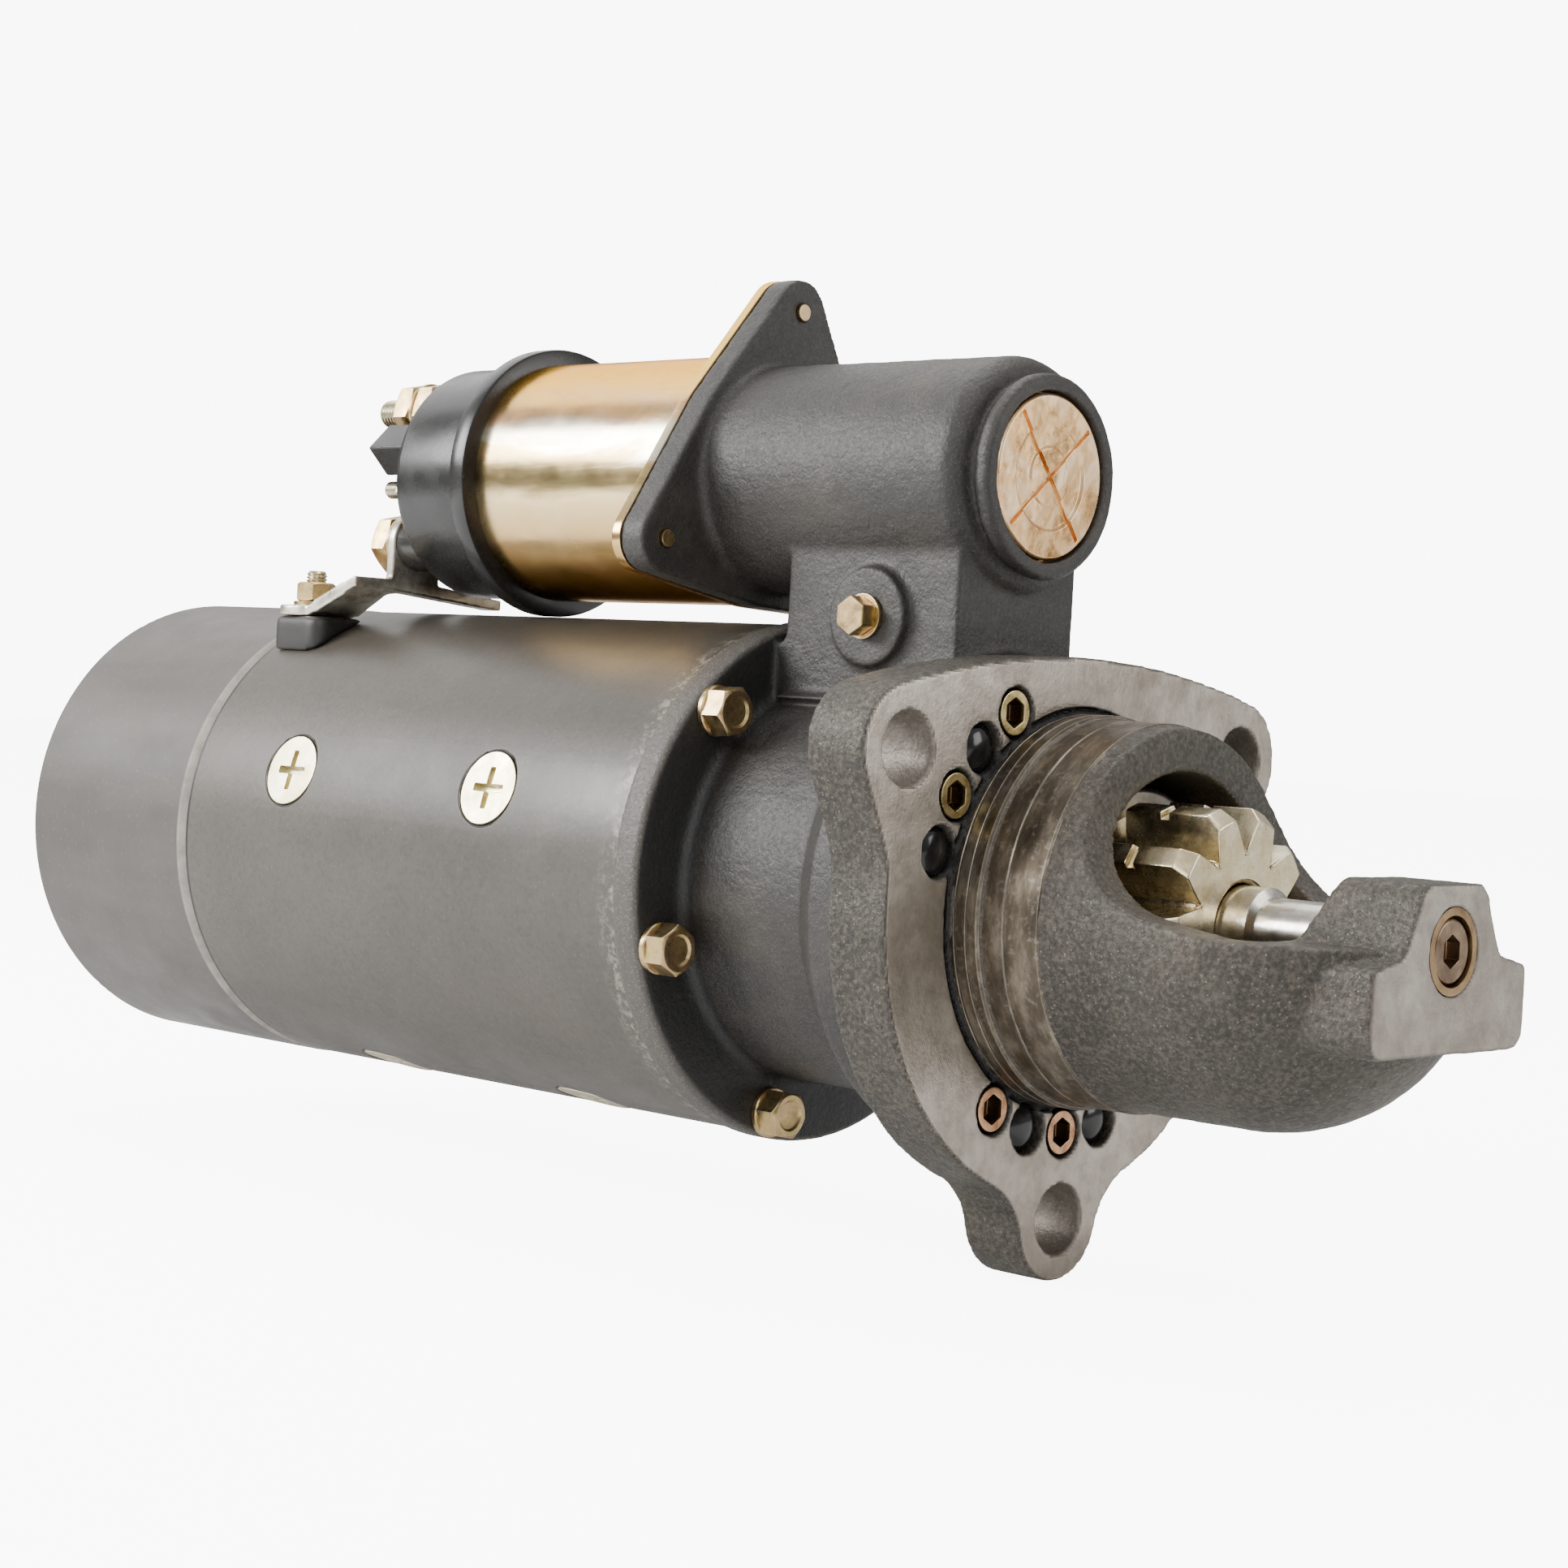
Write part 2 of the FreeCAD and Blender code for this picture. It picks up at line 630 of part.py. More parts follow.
def lever_housing():
    body = new_body("lever_housing")
    spigot_rear = "lever_flange_front - spigot_length"
    turned(body, [(spigot_rear, "0"), (spigot_rear, "spigot_radius"),
                  ("frame_front - 4.5", "spigot_radius"), ("frame_front - 4.5", "spigot_radius - 2"),
                  ("frame_front - 1.5", "spigot_radius - 2"), ("frame_front - 1.5", "spigot_radius"),
                  ("frame_front", "spigot_radius"), ("frame_front", "lever_flange_radius"),
                  ("lever_flange_front - 1", "lever_flange_radius"),
                  ("lever_flange_front", "lever_flange_radius - 1"),
                  ("lever_flange_front", "barrel_radius + 3", "3"),
                  ("lever_flange_front + 3", "barrel_radius"),
                  ("cone_rear", "barrel_radius"), ("cone_front", "lever_collar_radius"),
                  ("lever_front", "lever_collar_radius"), ("lever_front", "0")])
    outline_pad(body, "XZ_Plane", [("neck_rear", "30"), ("neck_front", "30"),
                                   ("neck_front", "solenoid_height - 8"),
                                   ("neck_rear", "solenoid_height - 8")],
                "0", "neck_width", middle=True)
    # the neck's foot spreads to the flange behind it and sideways to the barrel
    outline_pad(body, "XZ_Plane", [("lever_flange_front - 1", "30"), ("neck_rear + 9", "30"),
                                   ("neck_rear + 9", "neck_foot_top - 6"),
                                   ("neck_rear", "neck_foot_top", "-3"),
                                   ("lever_flange_front - 1", "neck_foot_top - 2")],
                "0", "neck_width", middle=True)
    outline_pad(body, "YZ_Plane", mirrored([
        ("0", "neck_foot_top"), ("neck_width / 2", "neck_foot_top", "9"),
        ("neck_width / 2 + 6", "neck_foot_top - 16"), ("0", "neck_foot_top - 16")]),
        "neck_rear", "cone_front + 1 - neck_rear")
    turned(body, [("tube_rear", "0"), ("tube_rear", "tube_radius + 2", "3"),
                  ("tube_rear + 3", "tube_radius"),
                  ("tube_front - 11.5", "tube_radius", "-6"),
                  ("tube_front - 6.3", "tube_radius - 3.6"),
                  ("tube_front - 6.3", "plug_seat + 2.4"), ("tube_front - 4.3", "plug_seat + 2.4"),
                  ("tube_front - 4", "plug_seat + 4.1"), ("tube_front - 1", "plug_seat + 4.1"),
                  ("tube_front", "plug_seat + 3.1"), ("tube_front", "0")], "solenoid_height")
    lobed_plate(body, "plate_rear", "tube_rear - plate_rear", "solenoid_height")
    circle_pad(body, "XZ_Plane", [("pivot_along", "pivot_height", "pivot_boss_radius")],
               "0", "2 * pivot_boss_side", middle=True)
    grooved(body, [(spigot_rear, "0"), (spigot_rear, "barrel_bore"),
                   ("lever_front", "barrel_bore"), ("lever_front", "0")])
    outline_pocket(body, "XZ_Plane", [("neck_slot_rear", "30"), ("neck_slot_front", "30"),
                                      ("neck_slot_front", "solenoid_height"),
                                      ("neck_slot_rear", "solenoid_height")],
                   "0", "neck_slot", middle=True)
    grooved(body, [("plate_rear", "0"), ("plate_rear", "tube_bore"),
                   ("tube_front - 10", "tube_bore"), ("tube_front - 10", "plug_seat"),
                   ("tube_front", "plug_seat"), ("tube_front", "0")], "solenoid_height")
    circle_pocket(body, "XZ_Plane", [("pivot_along", "pivot_height", "pivot_bolt_radius")],
                  "0", "2 * pivot_boss_side + 4", middle=True)
    bolts = circle_pocket(body, "YZ_Plane",
                          [angle_on("frame_bolt_circle", "frame_bolt_first")
                           + ("frame_bolt_radius",)], "frame_front", "8")
    polar(body, "6", [bolts])
    # one bolt head sits in a recess in the neck's rear corner
    circle_pocket(body, "YZ_Plane", [angle_on("frame_bolt_circle", "frame_bolt_first + 60")
                                     + ("7.2",)], "lever_flange_front", "8.2")
    screws = circle_pocket(body, "YZ_Plane",
                           [angle_on("small_hole_circle", "0") + ("nose_screw_radius",),
                            angle_on("small_hole_circle", "30") + ("nose_screw_radius",)],
                           "lever_front - 14", "14")
    polar(body, "3", [screws])
    lobe_holes = [angle_on("lobe_circle", "lobe_first + %d" % turn) + ("lobe_bolt_radius",)
                  for turn in (0, 120, 240)]
    circle_pocket(body, "YZ_Plane", lobe_holes, "plate_rear", "8", "solenoid_height")
    return body


# ---------------------------------------------------------------- nose housing

def flange_outline():
    """The mounting flange: two upper ears, a foot and a bowed top edge."""
    ear_y, ear_z = angle_on("bolt_circle", "30")
    flank_y = "%s + ear_radius * cos(ear_side_angle)" % ear_y
    flank_z = "%s + ear_radius * sin(ear_side_angle)" % ear_z
    low_y = "%s + ear_flank * sin(ear_side_angle)" % flank_y
    low_z = "%s - ear_flank * cos(ear_side_angle)" % flank_z
    return mirrored([
        ("0", "flange_top", "-flange_top_round"),
        ("%s + ear_radius * cos(ear_top_angle)" % ear_y,
         "%s + ear_radius * sin(ear_top_angle)" % ear_z, "-ear_radius"),
        (flank_y, flank_z),
        (low_y, low_z, "ear_flank_round"),
        angle_on("flange_base", "ear_flank_end") + ("-flange_base",),
        angle_on("flange_base", "foot_fillet_start") + ("foot_fillet",),
        ("foot_radius * cos(foot_fillet_end)",
         "foot_radius * sin(foot_fillet_end) - bolt_circle", "-foot_radius"),
    ])


def nose_housing():
    body = new_body("nose_housing")
    outline_pad(body, "YZ_Plane", flange_outline(), "flange_rear", "-flange_rear")
    turned(body, [("flange_rear - 8", "0"), ("flange_rear - 8", "barrel_bore - 0.1"),
                  ("flange_rear - 5.5", "barrel_bore - 0.1"), ("flange_rear - 5.5", "barrel_bore - 2.1"),
                  ("flange_rear - 2.5", "barrel_bore - 2.1"), ("flange_rear - 2.5", "barrel_bore - 0.1"),
                  ("flange_rear + 1", "barrel_bore - 0.1"), ("flange_rear + 1", "pilot_radius"),
                  ("pilot_front - 0.7", "pilot_radius"), ("pilot_front", "pilot_radius - 0.7"),
                  ("pilot_front", "nose_ring_radius"), ("nose_ring_front", "nose_ring_radius"),
                  ("nose_ring_front + 0.7", "nose_radius"),
                  ("nose_centre", "nose_radius", "-nose_radius"),
                  ("nose_centre + 43", "sqrt(nose_radius ^ 2 - 43 ^ 2)"),
                  ("nose_centre + 43", "0")])
    # a narrow relief runs round the foot of the pilot, in the flange's face
    grooved(body, [("-1.2", "pilot_radius"), ("0", "pilot_radius"), ("0", "pilot_radius + 2"),
                   ("-1.2", "pilot_radius + 2")])
    # everything ahead of and above the window's rear wall is open
    outline_pocket(body, "XZ_Plane", [
        ("window_rear", "80"), ("window_rear", "28.7", "window_round"),
        ("51.1", "3.06"), ("68", "0.2"), ("110", "0.2"), ("110", "80")],
        "0", "120", middle=True)
    outline_pad(body, "YZ_Plane", mirrored([
        ("0", "14.4"), ("10.4", "14.4", "-7"), ("14.5", "9"), ("18.4", "1", "4"), ("21.5", "-1.5"),
        ("29", "-3", "-2.5"), ("31", "-5"), ("31", "-17.2", "-5"), ("26", "-22.2"),
        ("0", "-22.2")]), "boss_rear", "boss_front - boss_rear")
    outline_pocket(body, "XZ_Plane", [("boss_rear - 2", "0.3"), ("boss_rear + 1.6", "0.3"),
                                      ("boss_rear + 4", "6.3"), ("boss_rear + 7.5", "14.4"),
                                      ("boss_rear + 7.5", "16"), ("boss_rear - 2", "16")],
                   "0", "60", middle=True)
    grooved(body, [("flange_rear - 8", "0"), ("flange_rear - 8", "nose_bore"),
                   ("nose_centre", "nose_bore", "-nose_bore"),
                   ("boss_rear", "sqrt(nose_bore ^ 2 - (boss_rear - nose_centre) ^ 2)"),
                   ("boss_rear", "0")])
    circle_pocket(body, "YZ_Plane", [("0", "0", "boss_bore")], "boss_rear - 1",
                  "boss_front - boss_rear + 2")
    mounting = circle_pocket(body, "YZ_Plane",
                             [angle_on("bolt_circle", "30") + ("bolt_hole",)], "flange_rear",
                             "-flange_rear")
    polar(body, "3", [mounting])
    seats = circle_pocket(body, "YZ_Plane",
                          [angle_on("small_hole_circle", str(turn)) + ("small_hole",)
                           for turn in (0, 15, 30, 45)], "-6.5", "6.5")
    shanks = circle_pocket(body, "YZ_Plane",
                           [angle_on("small_hole_circle", str(turn)) + ("nose_screw_radius",)
                            for turn in (0, 30)], "flange_rear", "-flange_rear")
    polar(body, "3", [seats, shanks])
    return body


# ---------------------------------------------------------------- fasteners and trim

def frame_bolts():
    body = new_body("frame_bolts")
    spot = angle_on("frame_bolt_circle", "frame_bolt_first")
    circle_pad(body, "YZ_Plane", [spot + ("frame_bolt_radius",)], "frame_front - 17",
               "lever_flange_front - frame_front + 17")
    circle_pad(body, "YZ_Plane", [spot + ("6.3",)], "lever_flange_front", "1.6")
    outline_pad(body, "YZ_Plane", hexagon(spot[0], spot[1], "11"), "lever_flange_front + 1.6", "6")
    polar(body, "6")
    return body


def nose_screws():
    body = new_body("nose_screws")
    for turn in ("0", "30"):
        spot = angle_on("small_hole_circle", turn)
        circle_pad(body, "YZ_Plane", [spot + ("nose_screw_radius",)], "-28", "22")
        circle_pad(body, "YZ_Plane", [spot + ("nose_screw_head",)], "-6.5", "6")
        outline_pocket(body, "YZ_Plane", hexagon(spot[0], spot[1], "6.2"), "-4.7", "4.4")
    polar(body, "3")
    return body


def hole_plugs():
    body = new_body("hole_plugs")
    for turn in ("15", "45"):
        spot = angle_on("small_hole_circle", turn)
        circle_pad(body, "YZ_Plane", [spot + ("small_hole",)], "-6.5", "5")
        circle_pad(body, "YZ_Plane", [spot + ("small_hole - 0.9",)], "-1.6", "0.9")
    polar(body, "3")
    return body


def pivot_bolt():
    body = new_body("lever_pivot_bolt")
    spot = ("pivot_along", "pivot_height")
    circle_pad(body, "XZ_Plane", [spot + ("pivot_bolt_radius",)], "-(pivot_boss_side - 1)",
               "2 * pivot_boss_side + 0.5")
    outline_pad(body, "XZ_Plane", hexagon(spot[0], spot[1], "pivot_bolt_across"),
                "pivot_boss_side + 1.2", "4.5")
    return body


def pivot_washer():
    body = new_body("pivot_washer")
    spot = ("pivot_along", "pivot_height")
    circle_pad(body, "XZ_Plane", [spot + ("pivot_bolt_across / 2 + 1.3",)], "pivot_boss_side", "1.2")
    circle_pocket(body, "XZ_Plane", [spot + ("pivot_bolt_radius",)], "pivot_boss_side", "1.2")
    return body


def access_plug():
    body = new_body("access_plug", "solenoid_height")
    turned(body, [("tube_front - 9", "0"), ("tube_front - 9", "plug_seat"),
                  ("tube_front - 5.5", "plug_seat"), ("tube_front - 5.5", "plug_seat - 0.7"),
                  ("tube_front - 1.4", "plug_seat - 0.7"), ("tube_front - 0.8", "plug_seat - 1.3"),
                  ("tube_front - 0.8", "13"), ("tube_front - 1.4", "12.4"),
                  ("tube_front - 1.4", "7.4"), ("tube_front - 0.9", "6.9"),
                  ("tube_front - 0.9", "0")])
    for angle in ("41", "128"):
        corners = turned_points([("-18.4", "-0.55"), ("18.4", "-0.55"),
                                 ("18.4", "0.55"), ("-18.4", "0.55")], angle)
        outline_pocket(body, "YZ_Plane", corners, "tube_front - 2.2", "2")
    return body


def nose_plug():
    body = new_body("nose_plug")
    turned(body, [("boss_front - 6.5", "0"), ("boss_front - 6.5", "nose_journal + running_gap"),
                  ("boss_front - 4", "nose_journal + running_gap"), ("boss_front - 4", "7.1"),
                  ("boss_front - 1.2", "7.1"), ("boss_front - 0.7", "6.6"),
                  ("boss_front - 0.7", "0")])
    outline_pocket(body, "YZ_Plane", hexagon("0", "0", "6.4"), "boss_front - 4", "4")
    return body


# ---------------------------------------------------------------- bearings

def middle_plate():
    body = new_body("middle_bearing_plate")
    hub = "bearing_hub_radius"
    turned(body, [("bearing_rear", "bearing_seat"), ("bearing_rear", "frame_bore - 0.3"),
                  ("bearing_wall_front", "frame_bore - 0.3"),
                  ("bearing_wall_front", "bearing_hub_radius + 4"),
                  ("bearing_wall_front + 4.2", hub), ("bearing_front", hub),
                  ("bearing_front", "bearing_seat")])
    return body


# ---------------------------------------------------------------- poles and coils

def sector(inner, outer, half):
    """The corners of a ring sector about the +u direction."""
    return [angle_on(inner, "-(%s)" % half), angle_on(outer, "-(%s)" % half) + (outer,),
            angle_on(outer, half), angle_on(inner, half) + ("-(%s)" % inner,)]


def pole_shoes():
    body = new_body("pole_shoes")
    outline_pad(body, "YZ_Plane", sector("pole_bore", "pole_bore + 4.8", "32"), "pole_rear",
                "pole_front - pole_rear")
    outline_pad(body, "YZ_Plane", sector("pole_bore + 4", "frame_bore", "14"), "pole_rear",
                "pole_front - pole_rear")
    sketch = new_sketch(body, "XZ_Plane", "-(pole_bore - 2)")
    draw_circles(sketch, [("pole_screw_rear", "0", "pole_screw_radius"),
                          ("pole_screw_front", "0", "pole_screw_radius")])
    pocketed(body, sketch, "20")
    body.Placement = Placement(Vector(0, 0, 0), Rotation(Vector(1, 0, 0), 0))
    body.setExpression("Placement.Rotation.Angle", bound("pole_first"))
    polar(body, "4")
    return body


def field_coils():
    body = new_body("field_coils")
    outline_pad(body, "YZ_Plane", sector("pole_bore + 5.2", "frame_bore - 0.3", "30"),
                "pole_rear - 5.5", "pole_front - pole_rear + 11")
    outline_pocket(body, "YZ_Plane", sector("pole_bore + 4.5", "frame_bore + 1", "14.6"),
                   "pole_rear - 0.5", "pole_front - pole_rear + 1")
    body.Placement = Placement(Vector(0, 0, 0), Rotation(Vector(1, 0, 0), 0))
    body.setExpression("Placement.Rotation.Angle", bound("pole_first"))
    polar(body, "4")
    return body


# ---------------------------------------------------------------- brush gear

def brush_box(longer, wider):
    """A rectangle round one brush, larger than it by a margin along and across the shaft."""
    rear = "brush_centre - brush_half_length - %s" % longer
    front = "brush_centre + brush_half_length + %s" % longer
    half = "brush_half_width + %s" % wider
    return [(rear, "-(%s)" % half), (front, "-(%s)" % half), (front, half), (rear, half)]


def brush_holder():
    body = new_body("brush_holder")
    turned(body, [("brush_plate_rear", "brush_plate_bore"),
                  ("brush_plate_rear", "cap_cavity - 0.2"),
                  ("brush_plate_front", "cap_cavity - 0.2"),
                  ("brush_plate_front", "brush_plate_bore")])
    box = outline_pad(body, "XY_Plane", brush_box("1.5", "1.6"), "30", "19.5")
    hollow = outline_pocket(body, "XY_Plane", brush_box("0.2", "0.2"), "brush_plate_bore", "19")
    polar(body, "4", [box, hollow])
    return body


def brushes():
    body = new_body("brushes")
    outline_pad(body, "XY_Plane", brush_box("0", "0"), "commutator_radius + 0.8", "14")
    polar(body, "4")
    return body


def brush_springs():
    body = new_body("brush_springs")
    sketch = new_sketch(body, "XZ_Plane")
    draw_circles(sketch, [("brush_centre + 4", "42.7", "0.6")])
    along = number("brush_centre")
    line = sketch.addGeometry(Part.LineSegment(Vector(along, 0, 0), Vector(along, 10, 0)), True)
    bind(sketch, "DistanceX", (line, 1), "brush_centre")
    bind(sketch, "DistanceX", (line, 2), "brush_centre")
    feature = body.newObject("PartDesign::AdditiveHelix", "brush_springs_helix")
    feature.Profile = sketch
    feature.ReferenceAxis = (sketch, ["Axis0"])
    feature.Mode = 0
    feature.Pitch = 1.5
    feature.Height = 4.5
    recompute_feature(body, feature)
    polar(body, "4")
    return body


# ---------------------------------------------------------------- armature

def armature_shaft():
    body = new_body("armature_shaft")
    turned(body, [("cap_floor + 2", "0"), ("cap_floor + 2", "rear_journal - 1"),
                  ("cap_floor + 3", "rear_journal"),
                  ("commutator_rear - 2", "rear_journal"), ("commutator_rear - 2", "shaft_radius"),
                  ("bearing_rear - 1", "shaft_radius"), ("bearing_rear - 1", "middle_journal"),
                  ("spline_rear", "middle_journal"), ("spline_rear", "spline_root"),
                  ("spline_front", "spline_root"), ("spline_front", "drive_shaft_radius"),
                  ("nose_shoulder", "drive_shaft_radius"), ("nose_shoulder + 1", "nose_journal"),
                  ("shaft_front - 0.8", "nose_journal"), ("shaft_front", "nose_journal - 0.8"),
                  ("shaft_front", "0")])
    tooth = outline_pad(body, "YZ_Plane", [("spline_root - 1", "-1.4"), ("spline_tip", "-1.2", "8"),
                                           ("spline_tip", "1.2"), ("spline_root - 1", "1.4")],
                        "spline_rear + 1", "spline_front - spline_rear - 1")
    polar(body, "spline_count", [tooth])
    return body


def armature_core():
    body = ring("armature_core", "core_rear", "core_front", "shaft_radius", "armature_radius")
    slot = outline_pocket(body, "YZ_Plane", [("winding_inner - 0.3", "-1.9"),
                                             ("armature_radius - 1.8", "-1.9"),
                                             ("armature_radius - 1.8", "-0.9"),
                                             ("armature_radius + 1", "-0.9"),
                                             ("armature_radius + 1", "0.9"),
                                             ("armature_radius - 1.8", "0.9"),
                                             ("armature_radius - 1.8", "1.9"),
                                             ("winding_inner - 0.3", "1.9")],
                          "core_rear", "core_front - core_rear")
    polar(body, "core_slots", [slot])
    return body


def armature_windings():
    body = new_body("armature_windings")
    turned(body, [("core_front", "winding_inner"), ("core_front", "winding_outer"),
                  ("core_front + 4", "winding_outer"), ("core_front + 9", "winding_outer - 3.9"),
                  ("core_front + 9", "winding_inner")])
    turned(body, [("core_rear - 16", "winding_inner"), ("core_rear - 16", "winding_outer - 6.9"),
                  ("core_rear - 6", "winding_outer"), ("core_rear", "winding_outer"),
                  ("core_rear", "winding_inner")])
    bar = outline_pad(body, "YZ_Plane", [("winding_inner", "-1.6"), ("winding_outer", "-1.6"),
                                         ("winding_outer", "1.6"), ("winding_inner", "1.6")],
                      "core_rear - 1", "core_front - core_rear + 2")
    polar(body, "core_slots", [bar])
    return body


def commutator():
    body = new_body("commutator")
    turned(body, [("commutator_rear", "shaft_radius"), ("commutator_rear", "commutator_radius"),
                  ("commutator_front", "commutator_radius"), ("commutator_front", "31"),
                  ("commutator_front + 7", "31"), ("commutator_front + 7", "shaft_radius")])
    slit = outline_pocket(body, "YZ_Plane", [("commutator_radius - 1.2", "-0.4"),
                                             ("32", "-0.4"), ("32", "0.4"),
                                             ("commutator_radius - 1.2", "0.4")],
                          "commutator_rear - 1", "commutator_front - commutator_rear + 9")
    polar(body, "commutator_bars", [slit])
    return body


# ---------------------------------------------------------------- drive

def drive_sleeve():
    body = ring("drive_sleeve", "collar_centre - 8.3", "clutch_rear + 2", "spline_root + 0.35",
                "sleeve_radius")
    slot = outline_pocket(body, "YZ_Plane", [("spline_root - 1", "-1.7"),
                                             ("spline_tip + 0.35", "-1.7"),
                                             ("spline_tip + 0.35", "1.7"),
                                             ("spline_root - 1", "1.7")],
                          "collar_centre - 10", "clutch_rear - collar_centre + 14")
    polar(body, "spline_count", [slot])
    return body


def shift_collar():
    body = new_body("shift_collar")
    turned(body, [("collar_centre - collar_groove / 2 - 2.2", "sleeve_radius"),
                  ("collar_centre - collar_groove / 2 - 2.2", "collar_radius"),
                  ("collar_centre - collar_groove / 2", "collar_radius"),
                  ("collar_centre - collar_groove / 2", "18"),
                  ("collar_centre + collar_groove / 2", "18"),
                  ("collar_centre + collar_groove / 2", "collar_radius"),
                  ("collar_centre + collar_groove / 2 + 2.2", "collar_radius"),
                  ("collar_centre + collar_groove / 2 + 2.2", "sleeve_radius")])
    return body


def cushion_spring():
    body = new_body("cushion_spring")
    helix(body, [("collar_centre + collar_groove / 2 + 3.6", "17.5", "1.3")], "H_Axis", "5", "27")
    return body


def clutch_shell():
    body = new_body("clutch_shell")
    turned(body, [("clutch_rear", "sleeve_radius"), ("clutch_rear", "clutch_radius - 1"),
                  ("clutch_rear + 1", "clutch_radius"), ("clutch_front - 1", "clutch_radius"),
                  ("clutch_front", "clutch_radius - 1"), ("clutch_front", "24"),
                  ("clutch_rear + 7", "24"), ("clutch_rear + 7", "17"), ("clutch_rear + 5", "17"),
                  ("clutch_rear + 5", "sleeve_radius")])
    return body


def clutch_rollers():
    body = new_body("clutch_rollers")
    circle_pad(body, "YZ_Plane", [("roller_circle", "0", "roller_radius")], "clutch_rear + 8", "22")
    polar(body, "6")
    return body


def pinion():
    body = new_body("pinion")
    turned(body, [("clutch_rear + 8", "pinion_bore"), ("clutch_rear + 8", "race_radius"),
                  ("clutch_front + 0.4", "race_radius"), ("pinion_rear", "pinion_root"),
                  ("pinion_front - 1.4", "pinion_root"), ("pinion_front", "pinion_root - 1.4"),
                  ("pinion_front", "pinion_bore + 1"), ("pinion_front - 1", "pinion_bore")])
    tip = "sqrt(pinion_tip ^ 2 - tooth_tip ^ 2)"
    corners = turned_points([("pinion_root - 2", "-tooth_root"),
                             ("pinion_root + 4", "-tooth_middle"),
                             (tip, "-tooth_tip", "pinion_tip"), (tip, "tooth_tip"),
                             ("pinion_root + 4", "tooth_middle"),
                             ("pinion_root - 2", "tooth_root")], "pinion_phase")
    tooth = outline_pad(body, "YZ_Plane", corners, "pinion_rear", "pinion_front - pinion_rear")
    polar(body, "pinion_teeth", [tooth])
    # the teeth lead in with a bevel, and a shallow snap-ring groove crosses them
    grooved(body, [("pinion_front - 4", "pinion_tip + 1"), ("pinion_front - 3.2", "pinion_tip"),
                   ("pinion_front", "pinion_tip - 2.8"), ("pinion_front + 1", "pinion_tip - 2.8"),
                   ("pinion_front + 1", "pinion_tip + 1")])
    grooved(body, [("pinion_front - 16", "pinion_tip - 1.6"), ("pinion_front - 14", "pinion_tip - 1.6"),
                   ("pinion_front - 14", "pinion_tip + 1"), ("pinion_front - 16", "pinion_tip + 1")])
    return body


# ---------------------------------------------------------------- shift lever

def shift_lever():
    """Drawn upright about its pivot, then leaned back to its rest angle."""
    body = new_body("shift_lever")
    circle_pad(body, "XZ_Plane", [("0", "0", "10")], "0", "24", middle=True)
    outline_pad(body, "XZ_Plane", [("-6", "0"), ("-5.4", "lever_upper + 6", "-5.4"),
                                   ("0", "lever_upper + 11.4", "-5.4"),
                                   ("5.4", "lever_upper + 6"), ("6", "0"),
                                   ("4", "-(lever_lower - 27)"), ("-4", "-(lever_lower - 27)")],
                "0", "7.8", middle=True)
    outline_pad(body, "YZ_Plane", [
        ("31.5 * cos(-8)", "31.5 * sin(-8) - lever_lower", "31.5"),
        ("31.5 * cos(82)", "31.5 * sin(82) - lever_lower", "31.5"),
        ("-31.5 * cos(82)", "31.5 * sin(82) - lever_lower", "31.5"),
        ("-31.5 * cos(-8)", "31.5 * sin(-8) - lever_lower"),
        ("-25.6 * cos(-8)", "25.6 * sin(-8) - lever_lower", "-25.6"),
        ("-25.6 * cos(82)", "25.6 * sin(82) - lever_lower", "-25.6"),
        ("25.6 * cos(82)", "25.6 * sin(82) - lever_lower", "-25.6"),
        ("25.6 * cos(-8)", "25.6 * sin(-8) - lever_lower")],
        "-4", "8")
    circle_pocket(body, "XZ_Plane", [("0", "0", "pivot_bolt_radius + running_gap")], "0", "30",
                  middle=True)
    outline_pocket(body, "XZ_Plane", [("-3.35", "lever_upper - 3.5"), ("3.35", "lever_upper - 3.5"),
                                      ("3.35", "lever_upper + 4.2"), ("-3.35", "lever_upper + 4.2")],
                   "0", "20", middle=True)
    body.Placement = Placement(Vector(0, 0, 0), Rotation(Vector(0, 1, 0), 0))
    body.setExpression("Placement.Base.x", bound("pivot_along"))
    body.setExpression("Placement.Base.z", bound("pivot_height"))
    body.setExpression("Placement.Rotation.Angle", bound("lever_tilt"))
    DOC.recompute()
    return body


def lever_shoes():
    """Two round shoes inside the fork, riding in the collar's groove."""
    body = new_body("lever_shoes")
    circle_pad(body, "XZ_Plane", [("0", "-lever_lower", "3.6")], "18.7", "6.6")
    circle_pad(body, "XZ_Plane", [("0", "-lever_lower", "3.6")], "-25.3", "6.6")
    body.Placement = Placement(Vector(0, 0, 0), Rotation(Vector(0, 1, 0), 0))
    body.setExpression("Placement.Base.x", bound("pivot_along"))
    body.setExpression("Placement.Base.z", bound("pivot_height"))
    body.setExpression("Placement.Rotation.Angle", bound("lever_tilt"))
    DOC.recompute()
    return body


# ---------------------------------------------------------------- solenoid

def solenoid_case():
    body = new_body("solenoid_case")
    turned(body, [("case_rear", "0"), ("case_rear", "case_radius"), ("case_front", "case_radius"),
                  ("case_front", "0")], "solenoid_height")
    lobed_plate(body, "case_front", "plate_rear - case_front", "solenoid_height")
    grooved(body, [("case_rear", "0"), ("case_rear", "case_radius - case_wall"),
                   ("case_front", "case_radius - case_wall"), ("case_front", "plunger_radius + 0.6"),
                   ("plate_rear", "plunger_radius + 0.6"), ("plate_rear", "0")], "solenoid_height")
    lobe_holes = [angle_on("lobe_circle", "lobe_first + %d" % turn) + ("lobe_bolt_radius",)
                  for turn in (0, 120, 240)]
    circle_pocket(body, "YZ_Plane", lobe_holes, "case_front", "3", "solenoid_height")
    return body


